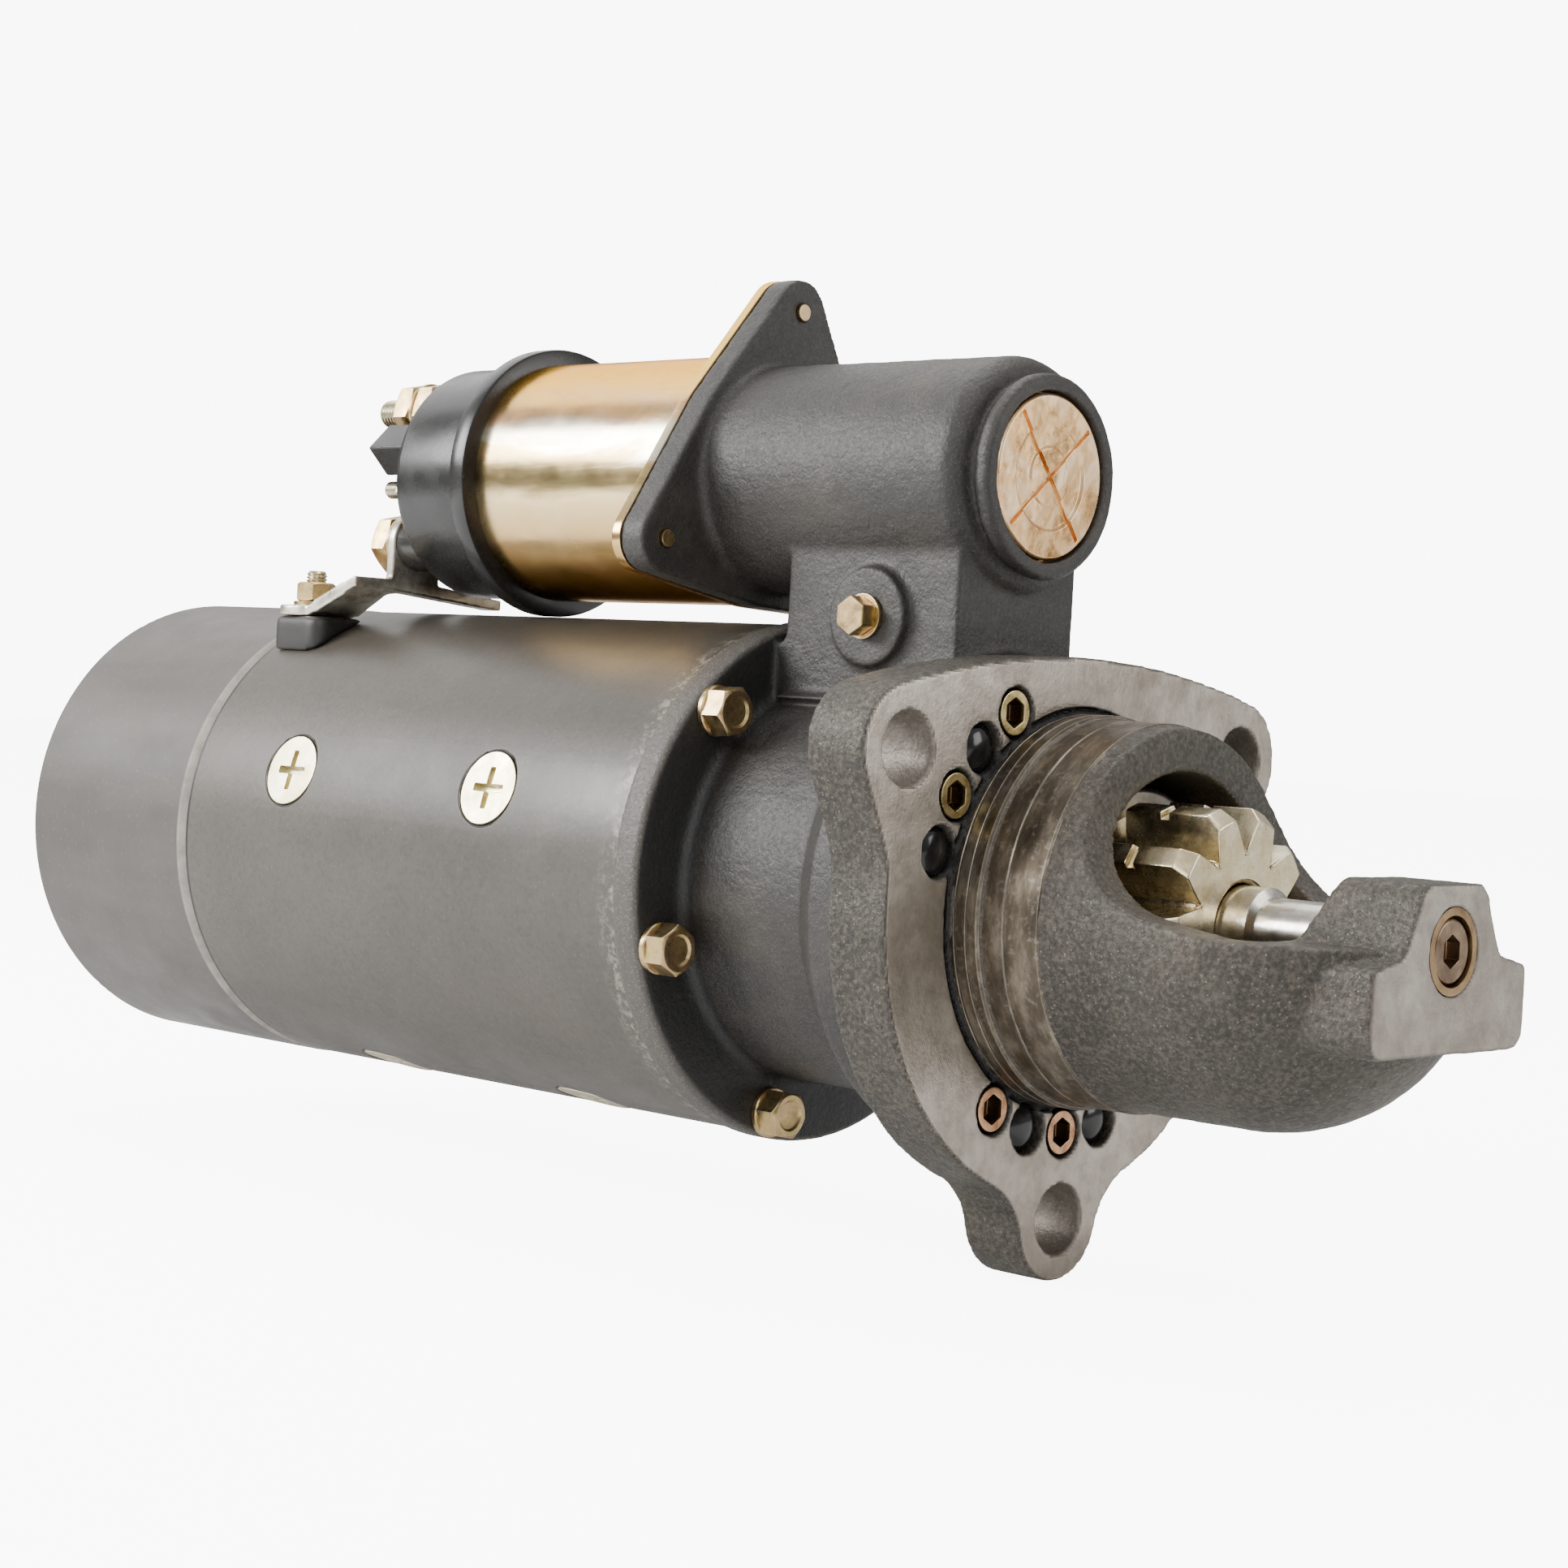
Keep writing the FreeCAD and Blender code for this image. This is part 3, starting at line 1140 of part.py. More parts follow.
def solenoid_screws():
    body = new_body("solenoid_screws", "solenoid_height")
    for turn in (0, 120, 240):
        spot = angle_on("lobe_circle", "lobe_first + %d" % turn)
        circle_pad(body, "YZ_Plane", [spot + ("lobe_bolt_radius",)], "case_front",
                   "tube_rear - case_front + 0.8")
        outline_pad(body, "YZ_Plane", hexagon(spot[0], spot[1], "8"), "case_front - 4", "4")
    return body


def solenoid_cap():
    body = new_body("solenoid_cap", "solenoid_height")
    turned(body, [("solenoid_cap_rear", "0"), ("solenoid_cap_rear", "solenoid_cap_radius - 3", "-3"),
                  ("solenoid_cap_rear + 3", "solenoid_cap_radius"),
                  ("solenoid_cap_step - 1", "solenoid_cap_radius"),
                  ("solenoid_cap_step - 1", "solenoid_cap_ring - 1"),
                  ("solenoid_cap_step", "solenoid_cap_ring"),
                  ("case_rear - 0.8", "solenoid_cap_ring"), ("case_rear", "solenoid_cap_ring - 0.8"),
                  ("case_rear", "30"), ("solenoid_cap_rear + 4", "30"),
                  ("solenoid_cap_rear + 4", "0")])
    circle_pad(body, "YZ_Plane", [("motor_side", "motor_lift", "motor_boss_radius")],
               "solenoid_cap_rear - motor_boss", "motor_boss + 3")
    circle_pocket(body, "YZ_Plane", [("battery_side", "battery_lift", "stud_radius - stud_relief"),
                                     ("motor_side", "motor_lift", "stud_radius - stud_relief"),
                                     ("switch_side", "switch_lift",
                                      "small_stud_radius - stud_relief")],
                  "solenoid_cap_rear - motor_boss", "motor_boss + 4")
    return body


def solenoid_bobbin():
    body = new_body("solenoid_bobbin", "solenoid_height")
    rear_wall = "bobbin_rear + bobbin_wall"
    front_wall = "bobbin_front - bobbin_wall"
    turned(body, [("bobbin_rear", "bobbin_bore"), ("bobbin_rear", "bobbin_radius"),
                  (rear_wall, "bobbin_radius"), (rear_wall, "bobbin_tube"),
                  (front_wall, "bobbin_tube"), (front_wall, "bobbin_radius"),
                  ("bobbin_front", "bobbin_radius"), ("bobbin_front", "bobbin_bore")])
    return body


def solenoid_core():
    body = new_body("solenoid_core", "solenoid_height")
    bore = "contact_rod_radius + 0.6"
    turned(body, [("case_rear", bore), ("case_rear", "bobbin_radius + 0.2"),
                  ("bobbin_rear - 0.1", "bobbin_radius + 0.2"),
                  ("bobbin_rear - 0.1", "bobbin_bore - 0.3"),
                  ("bobbin_rear + 23", "bobbin_bore - 0.3"), ("bobbin_rear + 23", bore)])
    return body


def plunger():
    body = new_body("plunger", "solenoid_height")
    turned(body, [("plunger_rear", "0"), ("plunger_rear", "plunger_radius - 1"),
                  ("plunger_rear + 1", "plunger_radius"), ("plunger_front - 2", "plunger_radius"),
                  ("plunger_front - 2", "tube_bore - 0.8"), ("plunger_front", "tube_bore - 0.8"),
                  ("plunger_front", "0")])
    return body


def plunger_link():
    """The rod and clevis that carry the lever's pin."""
    body = new_body("plunger_link", "solenoid_height")
    pin = "pivot_along + lever_upper * tan(lever_tilt)"
    circle_pad(body, "YZ_Plane", [("0", "0", "5")], "plunger_front", "14")
    outline_pad(body, "XZ_Plane", [("plunger_front + 12", "-link_half"),
                                   (pin, "-link_half", "link_half"),
                                   ("%s + link_half" % pin, "0", "link_half"),
                                   (pin, "link_half"), ("plunger_front + 12", "link_half")],
                "0", "17", middle=True)
    outline_pocket(body, "XZ_Plane", [("plunger_front + 18", "-8"), ("%s + 8" % pin, "-8"),
                                      ("%s + 8" % pin, "8"), ("plunger_front + 18", "8")],
                   "0", "8.8", middle=True)
    circle_pocket(body, "XZ_Plane", [(pin, "0", "link_pin_radius")], "0", "20", middle=True)
    return body


def link_pin():
    body = new_body("link_pin", "solenoid_height")
    pin = "pivot_along + lever_upper * tan(lever_tilt)"
    circle_pad(body, "XZ_Plane", [(pin, "0", "link_pin_radius")], "0", "19", middle=True)
    return body


def plunger_spring():
    body = new_body("plunger_spring", "solenoid_height")
    helix(body, [("plate_rear + 1.5", "18.9", "1.2")], "H_Axis", "5.1", "30.6")
    return body


def contact_rod():
    body = new_body("contact_rod", "solenoid_height")
    turned(body, [("contact_rear - 2", "0"), ("contact_rear - 2", "contact_rod_radius + 1.5"),
                  ("contact_rear", "contact_rod_radius + 1.5"),
                  ("contact_rear", "contact_rod_radius"),
                  ("plunger_rear", "contact_rod_radius"), ("plunger_rear", "0")])
    return body


def contact_disc():
    return ring("contact_disc", "contact_rear", "contact_rear + contact_thickness",
                "contact_rod_radius", "disc_radius", "solenoid_height")


def threaded_terminal(name, side, lift_above, stud, held, reach):
    """A contact bolt: its head inside the cap, its stud standing out at the rear. The length
    held by the cap and its nuts is thinner than the free thread."""
    body = new_body(name, "solenoid_height")
    spot = (side, lift_above)
    circle_pad(body, "YZ_Plane", [spot + ("%s + 1" % stud,)], "solenoid_cap_rear + 4", "2.2")
    circle_pad(body, "YZ_Plane", [spot + ("%s - stud_relief" % stud,)],
               "solenoid_cap_rear - (%s) - 0.6" % held, "4.6 + %s" % held)
    circle_pad(body, "YZ_Plane", [spot + (stud,)], "solenoid_cap_rear - %s" % reach,
               "%s - (%s) - 0.6" % (reach, held))
    return body


def nut_on_stud(body, side, lift_above, stud, across, height, seat):
    """A hexagon nut with its washer face, seated at a distance behind the cap."""
    spot = (side, lift_above)
    front = "solenoid_cap_rear - (%s) - nut_washer" % seat
    rear = "%s - %s" % (front, height)
    circle_pad(body, "YZ_Plane", [spot + ("%s / 2 + 0.6" % across,)], front, "nut_washer")
    outline_pad(body, "YZ_Plane", hexagon(side, lift_above, across), rear, height)
    circle_pocket(body, "YZ_Plane", [spot + ("%s - stud_relief" % stud,)], rear,
                  "%s + nut_washer" % height)


def terminal_nuts():
    """Three like nuts: two on the battery stud and one that clamps the strap."""
    body = new_body("terminal_nuts", "solenoid_height")
    battery = ("battery_side", "battery_lift", "stud_radius", "nut_across", "nut_height")
    motor = ("motor_side", "motor_lift", "stud_radius", "nut_across", "nut_height")
    nut_on_stud(body, *battery, "0")
    nut_on_stud(body, *battery, "nut_washer + nut_height + running_gap")
    nut_on_stud(body, *motor, "motor_boss + strap_thickness")
    return body


def switch_nut():
    body = new_body("switch_nut", "solenoid_height")
    nut_on_stud(body, "switch_side", "switch_lift", "small_stud_radius", "small_nut_across",
                "small_nut_height", "0")
    return body


def terminal_shroud():
    """A square plastic post standing on its corner, which guards the small terminals."""
    body = new_body("terminal_shroud", "solenoid_height")
    corners = [("shroud_side + shroud_half", "shroud_lift"), ("shroud_side", "shroud_lift + shroud_half"),
               ("shroud_side - shroud_half", "shroud_lift"), ("shroud_side", "shroud_lift - shroud_half")]
    outline_pad(body, "YZ_Plane", corners, "solenoid_cap_rear - shroud_length", "shroud_length")
    return body


# ---------------------------------------------------------------- strap and frame terminal

def connector_strap():
    """A bent bar from the motor terminal down to the frame terminal, with a side arm."""
    body = new_body("connector_strap")
    tab_front = "solenoid_cap_rear - motor_boss"
    tab_rear = "solenoid_cap_rear - motor_boss - strap_thickness"
    low = "strap_bottom"
    high = "strap_bottom + strap_rise"
    thick = "strap_thickness"
    sketch = new_sketch(body, "XZ_Plane", "-(frame_stud_side)")
    draw_outline(sketch, [("frame_stud_along", low), ("frame_stud_along + 9.8", low),
                          ("frame_stud_along + 22.6", high), (tab_front, high),
                          (tab_front, "%s + %s" % (high, thick)),
                          ("frame_stud_along + 21.4", "%s + %s" % (high, thick)),
                          ("frame_stud_along + 8.6", "%s + %s" % (low, thick)),
                          ("frame_stud_along", "%s + %s" % (low, thick))])
    padded(body, sketch, "strap_width", middle=True)
    circle_pad(body, "XY_Plane", [("frame_stud_along", "frame_stud_side", "10")], low, thick)
    outline_pad(body, "YZ_Plane", [("frame_stud_side + 4", high), ("16", "%s - 3.7" % high),
                                   ("16", "%s + %s - 3.7" % (high, thick)),
                                   ("motor_side", "%s + %s" % (high, thick)),
                                   ("frame_stud_side + 4", "%s + %s" % (high, thick))],
                "%s - 5" % tab_rear, "5 + strap_thickness")
    centre = "solenoid_height + motor_lift"
    left = "motor_side - strap_tab_half"
    right = "motor_side + strap_tab_half"
    outline_pad(body, "YZ_Plane", [(left, high), (right, high), (right, centre, "strap_tab_half"),
                                   ("motor_side", "%s + strap_tab_half" % centre, "strap_tab_half"),
                                   (left, centre)],
                tab_rear, thick)
    circle_pocket(body, "YZ_Plane", [("motor_side", centre, "stud_radius - stud_relief")],
                  tab_rear, thick)
    circle_pocket(body, "XY_Plane", [("frame_stud_along", "frame_stud_side", "frame_stud_radius")],
                  "%s - 1" % low, "5")
    return body


def frame_terminal():
    """The stud that carries the current through the frame wall, with its nut."""
    body = new_body("frame_terminal")
    spot = ("frame_stud_along", "frame_stud_side")
    circle_pad(body, "XY_Plane", [spot + ("frame_stud_radius",)], "46", "strap_bottom + 13 - 46")
    return body


def frame_terminal_nut():
    body = new_body("frame_terminal_nut")
    spot = ("frame_stud_along", "frame_stud_side")
    circle_pad(body, "XY_Plane", [spot + ("6.2",)], "strap_bottom + strap_thickness", "1.2")
    outline_pad(body, "XY_Plane", hexagon(spot[0], spot[1], "10"),
                "strap_bottom + strap_thickness + 1.2", "5.5")
    circle_pocket(body, "XY_Plane", [spot + ("frame_stud_radius",)], "strap_bottom", "12")
    return body


def terminal_insulator():
    """A moulded pad seated on the frame, with a sleeve through the frame wall."""
    body = new_body("terminal_insulator")
    spot = ("frame_stud_along", "frame_stud_side")
    outline_pad(body, "XY_Plane", [("frame_stud_along - 6", "frame_stud_side - 10"),
                                   ("frame_stud_along + 9", "frame_stud_side - 10", "5"),
                                   ("frame_stud_along + 14", "frame_stud_side - 5"),
                                   ("frame_stud_along + 14", "frame_stud_side + 5", "3"),
                                   ("frame_stud_along + 11", "frame_stud_side + 8"),
                                   ("frame_stud_along - 6", "frame_stud_side + 8")],
                "50", "strap_bottom - 50")
    grooved(body, [("frame_rear - 4", "0"), ("frame_rear - 4", "frame_radius + 0.05"),
                   ("frame_front", "frame_radius + 0.05"), ("frame_front", "0")])
    circle_pad(body, "XY_Plane", [spot + ("insulator_sleeve",)], "48", "strap_bottom - 48.5")
    circle_pocket(body, "XY_Plane", [spot + ("frame_stud_radius",)], "46", "20")
    return body


# ---------------------------------------------------------------- assembly list

def build_all():
    """Every sub-part, in the order it would be laid out on a bench."""
    parts = [field_frame(), commutator_end_cap(), lever_housing(), nose_housing()]
    parts += [pole_shoes(), pole_screws(), field_coils()]
    parts += [cap_bolts(), frame_bolts(), nose_screws(), hole_plugs()]
    parts += [pivot_bolt(), pivot_washer(), access_plug(), nose_plug()]
    parts += [ring("rear_bushing", "cap_floor", "cap_floor + 11.8",
                   "rear_journal + running_gap", "11"),
              middle_plate(),
              ring("middle_bushing", "bearing_rear", "bushing_front",
                   "middle_journal + running_gap", "bearing_seat"),
              ring("shaft_seal", "bushing_front + 0.2", "bearing_front",
                   "middle_journal + 0.4", "bearing_seat"),
              ring("nose_bushing", "boss_rear + 2", "boss_front - 0.3",
                   "nose_journal + running_gap", "boss_bore")]
    parts += [o_rings("frame_seals", ["frame_front - 3", "cap_front + 4.7"],
                      "spigot_radius - 1", "1"),
              o_rings("nose_seal", ["flange_rear - 4"], "barrel_bore - 1.05", "1")]
    parts += [brush_holder(), brushes(), brush_springs()]
    parts += [armature_shaft(), armature_core(), armature_windings(), commutator()]
    parts += [drive_sleeve(), shift_collar(), cushion_spring(), clutch_shell(), clutch_rollers(),
              ring("clutch_retainer", "clutch_front - 4", "clutch_front - 1", "race_radius + 1", "24"),
              pinion()]
    parts += [shift_lever(), lever_shoes()]
    parts += [solenoid_case(), solenoid_screws(), solenoid_cap(), solenoid_bobbin(),
              ring("solenoid_winding", "bobbin_rear + bobbin_wall", "bobbin_front - bobbin_wall",
                   "bobbin_tube", "bobbin_radius - 0.6", "solenoid_height"),
              solenoid_core()]
    parts += [plunger(), plunger_link(), link_pin(), plunger_spring(), contact_rod(),
              contact_disc()]
    parts += [threaded_terminal("battery_terminal", "battery_side", "battery_lift", "stud_radius",
                                "2 * (nut_washer + nut_height)", "battery_reach"),
              threaded_terminal("motor_terminal", "motor_side", "motor_lift", "stud_radius",
                                "motor_boss + strap_thickness + nut_washer + nut_height",
                                "motor_reach"),
              threaded_terminal("switch_terminal", "switch_side", "switch_lift",
                                "small_stud_radius", "nut_washer + small_nut_height",
                                "switch_reach"),
              terminal_nuts(), switch_nut(), terminal_shroud()]
    parts += [connector_strap(), frame_terminal(), frame_terminal_nut(), terminal_insulator()]
    return parts


def check_document():
    """Every object computed, every state clean."""
    DOC.recompute()
    for item in DOC.Objects:
        if "Invalid" in item.State or "Error" in item.State:
            raise ValueError("%s failed: %s" % (item.Name, item.State))


def write_parts(parts):
    """One STEP file for each sub-part, named by its label."""
    os.makedirs("parts", exist_ok=True)
    for part in parts:
        shape = part.Shape
        if shape.isNull() or not shape.isValid() or not shape.Solids:
            raise ValueError("bad shape: " + part.Label)
        shape.exportStep(os.path.join("parts", part.Label + ".step"))
        print("%-24s %2d solids %10.0f mm3" % (part.Label, len(shape.Solids), shape.Volume))


PARTS = build_all()
check_document()
write_parts(PARTS)
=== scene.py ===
import json
import math

import bmesh
import bpy
from mathutils import Matrix, Vector, noise


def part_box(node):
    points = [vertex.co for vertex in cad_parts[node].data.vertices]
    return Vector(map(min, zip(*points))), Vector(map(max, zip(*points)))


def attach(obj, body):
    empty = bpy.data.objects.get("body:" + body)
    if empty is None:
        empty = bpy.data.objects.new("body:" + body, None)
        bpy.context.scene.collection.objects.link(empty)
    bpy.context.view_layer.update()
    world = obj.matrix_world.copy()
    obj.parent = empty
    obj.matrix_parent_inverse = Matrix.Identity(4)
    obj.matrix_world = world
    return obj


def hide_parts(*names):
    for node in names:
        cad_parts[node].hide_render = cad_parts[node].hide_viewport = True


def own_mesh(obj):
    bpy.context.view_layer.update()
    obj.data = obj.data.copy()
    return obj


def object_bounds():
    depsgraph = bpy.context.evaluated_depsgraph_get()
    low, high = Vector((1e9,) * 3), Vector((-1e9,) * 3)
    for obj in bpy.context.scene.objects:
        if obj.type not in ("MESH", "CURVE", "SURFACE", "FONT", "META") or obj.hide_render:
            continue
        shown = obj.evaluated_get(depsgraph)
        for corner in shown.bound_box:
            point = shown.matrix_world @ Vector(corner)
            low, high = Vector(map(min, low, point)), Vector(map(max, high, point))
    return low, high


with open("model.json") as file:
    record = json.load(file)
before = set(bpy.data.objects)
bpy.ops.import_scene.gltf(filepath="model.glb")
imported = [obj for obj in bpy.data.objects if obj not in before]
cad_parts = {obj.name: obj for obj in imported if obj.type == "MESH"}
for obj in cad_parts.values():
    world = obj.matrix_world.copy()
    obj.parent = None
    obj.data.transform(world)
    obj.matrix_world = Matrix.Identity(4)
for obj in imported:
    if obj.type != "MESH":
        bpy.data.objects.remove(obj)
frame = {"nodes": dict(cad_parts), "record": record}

cad_box = [list(corner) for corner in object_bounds()]

# Places and sizes in the row frame, in metres: X runs forwards along the shaft and Z is up.
MM = 0.001
SOLENOID_Z = 0.1019         # height of the solenoid's axis
SOLENOID_REAR = -0.221      # rear face of the solenoid's moulded cap
CAP_FRONT = -0.2646         # where the end cap stops, just behind the frame
LEVER_FACE = -0.081         # front face of the lever housing's flange
BOLT_CIRCLE = 0.07303       # radius of the three mounting holes' circle
HOLE_ANGLES = (30, 150, 270)
ALONG_X = (1, 0, 0)
BACK_X = (-1, 0, 0)
UP = (0, 0, 1)

# Colours that several materials share.
SHADOW = (0.004, 0.004, 0.004)
RUBBED_EDGE = (0.24, 0.22, 0.20)
CAST_EDGE = (0.66, 0.61, 0.54)
BLACK = (0, 0, 0)
WHITE = (1, 1, 1)


# ------------------------------------------------------------------ camera

CAMERA_YAW, CAMERA_PITCH, CAMERA_ROLL = 43.201, 1.561, 3.156    # degrees
CAMERA_PLACE = (0.429239, -0.559638, 0.044988)
CAMERA_LENS = 68.69
SENSOR_WIDTH = 36


def make_camera():
    """The view from ahead of the nose, a little above the shaft, with the object leaning slightly."""
    yaw, pitch, roll = (math.radians(turn) for turn in (CAMERA_YAW, CAMERA_PITCH, CAMERA_ROLL))
    look = Vector((-math.sin(yaw) * math.cos(pitch), math.cos(yaw) * math.cos(pitch), -math.sin(pitch)))
    level_right = look.cross(Vector(UP)).normalized()
    level_up = level_right.cross(look)
    right = math.cos(roll) * level_right + math.sin(roll) * level_up
    up = math.cos(roll) * level_up - math.sin(roll) * level_right
    data = bpy.data.cameras.new("camera")
    data.lens = CAMERA_LENS
    data.sensor_width = SENSOR_WIDTH
    data.clip_start = 0.01
    data.clip_end = 50
    camera = bpy.data.objects.new("camera", data)
    bpy.context.scene.collection.objects.link(camera)
    place = Matrix((right, up, -look)).transposed().to_4x4()
    place.translation = Vector(CAMERA_PLACE)
    camera.matrix_world = place
    bpy.context.scene.camera = camera


make_camera()


# ------------------------------------------------------------------ node graph helpers

class Graph:
    """A material's node tree, built with short calls."""

    def __init__(self, name):
        self.material = bpy.data.materials.new(name)
        self.material.use_nodes = True
        self.tree = self.material.node_tree
        self.shader = self.tree.nodes["Principled BSDF"]
        self.place = self.node("ShaderNodeTexCoord").outputs["Object"]

    def node(self, kind, **settings):
        made = self.tree.nodes.new(kind)
        for key, value in settings.items():
            setattr(made, key, value)
        return made

    def link(self, source, target):
        self.tree.links.new(source, target)

    def feed(self, socket, value):
        """A number, a colour or another node's output into a socket."""
        if isinstance(value, bpy.types.NodeSocket):
            self.link(value, socket)
        elif isinstance(value, tuple) and len(value) == 3 and socket.type == "RGBA":
            socket.default_value = (*value, 1)
        else:
            socket.default_value = value

    def noise(self, scale, detail=4, rough=0.55, warp=0.0, vector=None):
        made = self.node("ShaderNodeTexNoise")
        self.link(vector or self.place, made.inputs["Vector"])
        made.inputs["Scale"].default_value = scale
        made.inputs["Detail"].default_value = detail
        made.inputs["Roughness"].default_value = rough
        made.inputs["Distortion"].default_value = warp
        return made.outputs["Fac"]

    def specks(self, scale, size, share):
        """Scattered small round spots: 1 inside a spot, 0 outside."""
        cell = self.node("ShaderNodeTexVoronoi")
        self.link(self.place, cell.inputs["Vector"])
        cell.inputs["Scale"].default_value = scale
        spot = self.remap(cell.outputs["Distance"], size, size * 0.4)
        parts = self.node("ShaderNodeSeparateColor")
        self.link(cell.outputs["Color"], parts.inputs[0])
        chosen = self.math("LESS_THAN", parts.outputs[0], share)
        return self.times(spot, chosen)

    def stretched(self, x, y, z):
        made = self.node("ShaderNodeMapping")
        self.link(self.place, made.inputs["Vector"])
        made.inputs["Scale"].default_value = (x, y, z)
        return made.outputs["Vector"]

    def math(self, kind, a, b=0.0):
        made = self.node("ShaderNodeMath", operation=kind)
        self.feed(made.inputs[0], a)
        self.feed(made.inputs[1], b)
        return made.outputs[0]

    def times(self, first, *others):
        for other in others:
            first = self.math("MULTIPLY", first, other)
        return first

    def remap(self, value, low, high, to_low=0.0, to_high=1.0):
        made = self.node("ShaderNodeMapRange")
        self.link(value, made.inputs["Value"])
        for key, number in (("From Min", low), ("From Max", high), ("To Min", to_low), ("To Max", to_high)):
            made.inputs[key].default_value = number
        return made.outputs["Result"]

    def varied(self, source, low, high):
        """A noise's usual spread, remapped to go from low to high."""
        return self.remap(source, 0.3, 0.7, low, high)

    def ramp(self, value, stops):
        made = self.node("ShaderNodeValToRGB")
        self.link(value, made.inputs["Fac"])
        points = made.color_ramp.elements
        while len(points) < len(stops):
            points.new(0.5)
        for point, (where, colour) in zip(points, stops):
            point.position = where
            point.color = (*colour, 1)
        return made.outputs["Color"]

    def patches(self, source, start, full):
        """0 where the noise is below start, 1 where it is above full."""
        return self.ramp(source, [(start, BLACK), (full, WHITE)])

    def mix(self, factor, a, b):
        made = self.node("ShaderNodeMix", data_type="RGBA")
        self.feed(made.inputs["Factor"], factor)
        self.feed(made.inputs["A"], a)
        self.feed(made.inputs["B"], b)
        return made.outputs["Result"]

    def laid(self, tone, mask, share, colour):
        """A colour laid over a tone where the mask is set, up to its share."""
        return self.mix(self.times(mask, share), tone, colour)

    def bump(self, height, distance, strength=1.0, normal=None):
        made = self.node("ShaderNodeBump")
        self.link(height, made.inputs["Height"])
        made.inputs["Distance"].default_value = distance
        made.inputs["Strength"].default_value = strength
        if normal:
            self.link(normal, made.inputs["Normal"])
        return made.outputs["Normal"]

    def axes(self):
        made = self.node("ShaderNodeSeparateXYZ")
        self.link(self.place, made.inputs[0])
        return made.outputs

    def reach(self, axis):
        """The distance from the shaft's axis."""
        squares = [self.times(axis[k], axis[k]) for k in (1, 2)]
        return self.math("SQRT", self.math("ADD", *squares))

    def attribute(self, name):
        return self.node("ShaderNodeAttribute", attribute_name=name).outputs["Fac"]

    def edge(self, radius):
        """Near 1 on convex and concave edges, from how a rounded normal leaves the true one."""
        rounded = self.node("ShaderNodeBevel", samples=4)
        rounded.inputs["Radius"].default_value = radius
        true = self.node("ShaderNodeNewGeometry").outputs["Normal"]
        dot = self.node("ShaderNodeVectorMath", operation="DOT_PRODUCT")
        self.link(rounded.outputs[0], dot.inputs[0])
        self.link(true, dot.inputs[1])
        return self.remap(self.math("SUBTRACT", 1.0, dot.outputs["Value"]), 0.02, 0.25)

    def finish(self, colour, metallic, roughness, normal=None, **fixed):
        self.feed(self.shader.inputs["Base Color"], colour)
        self.feed(self.shader.inputs["Metallic"], metallic)
        self.feed(self.shader.inputs["Roughness"], roughness)
        if normal:
            self.link(normal, self.shader.inputs["Normal"])
        for key, value in fixed.items():
            self.shader.inputs[key.replace("_", " ")].default_value = value
        return self.material


# ------------------------------------------------------------------ materials

def painted_frame():
    """Satin charcoal enamel with a faint orange peel, dust, rubbed edges and a chipped front rim."""
    g = Graph("frame_enamel")
    tone = g.ramp(g.noise(9, 5, 0.6), [(0.3, (0.060, 0.053, 0.044)), (0.7, (0.088, 0.078, 0.065))])
    tone = g.mix(g.remap(g.noise(640, 4, 0.7), 0.46, 0.62, 0.0, 0.35), tone, (0.034, 0.030, 0.024))
    tone = g.laid(tone, g.patches(g.noise(34, 5, 0.65, 0.6), 0.48, 0.75), 0.4, (0.098, 0.078, 0.062))
    tone = g.laid(tone, g.specks(620, 0.34, 0.35), 0.12, (0.22, 0.20, 0.17))
    tone = g.laid(tone, g.edge(0.0012), 0.5, RUBBED_EDGE)
    axis = g.axes()
    # darker and browner towards the top, and a painted shadow fills the joint with the end cap
    tone = g.mix(g.remap(axis[2], 0.034, 0.070, 0.0, 0.65), tone, (0.040, 0.033, 0.022))
    rear, front = (corner.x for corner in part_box("field_frame"))
    # painted shadow on the frame's rear edge, in the joint with the end cap
    tone = g.mix(g.remap(axis[0], rear + 0.0014, rear + 0.0010), tone, SHADOW)
    chips = g.patches(g.noise(360, 5, 0.75), 0.48, 0.62)
    near_front = g.remap(axis[0], front - 0.0070, front - 0.0015, 0.0, 0.65)
    tone = g.mix(g.times(chips, near_front), tone, (0.34, 0.31, 0.26))
    normal = g.bump(g.noise(520, 3, 0.5), 0.00012, 0.35)
    normal = g.bump(g.noise(2600, 2, 0.5), 0.00003, 0.4, normal)
    rough = g.varied(g.noise(30, 4, 0.6), 0.36, 0.50)
    return g.finish(tone, 0.0, rough, normal, Specular_IOR_Level=0.5)


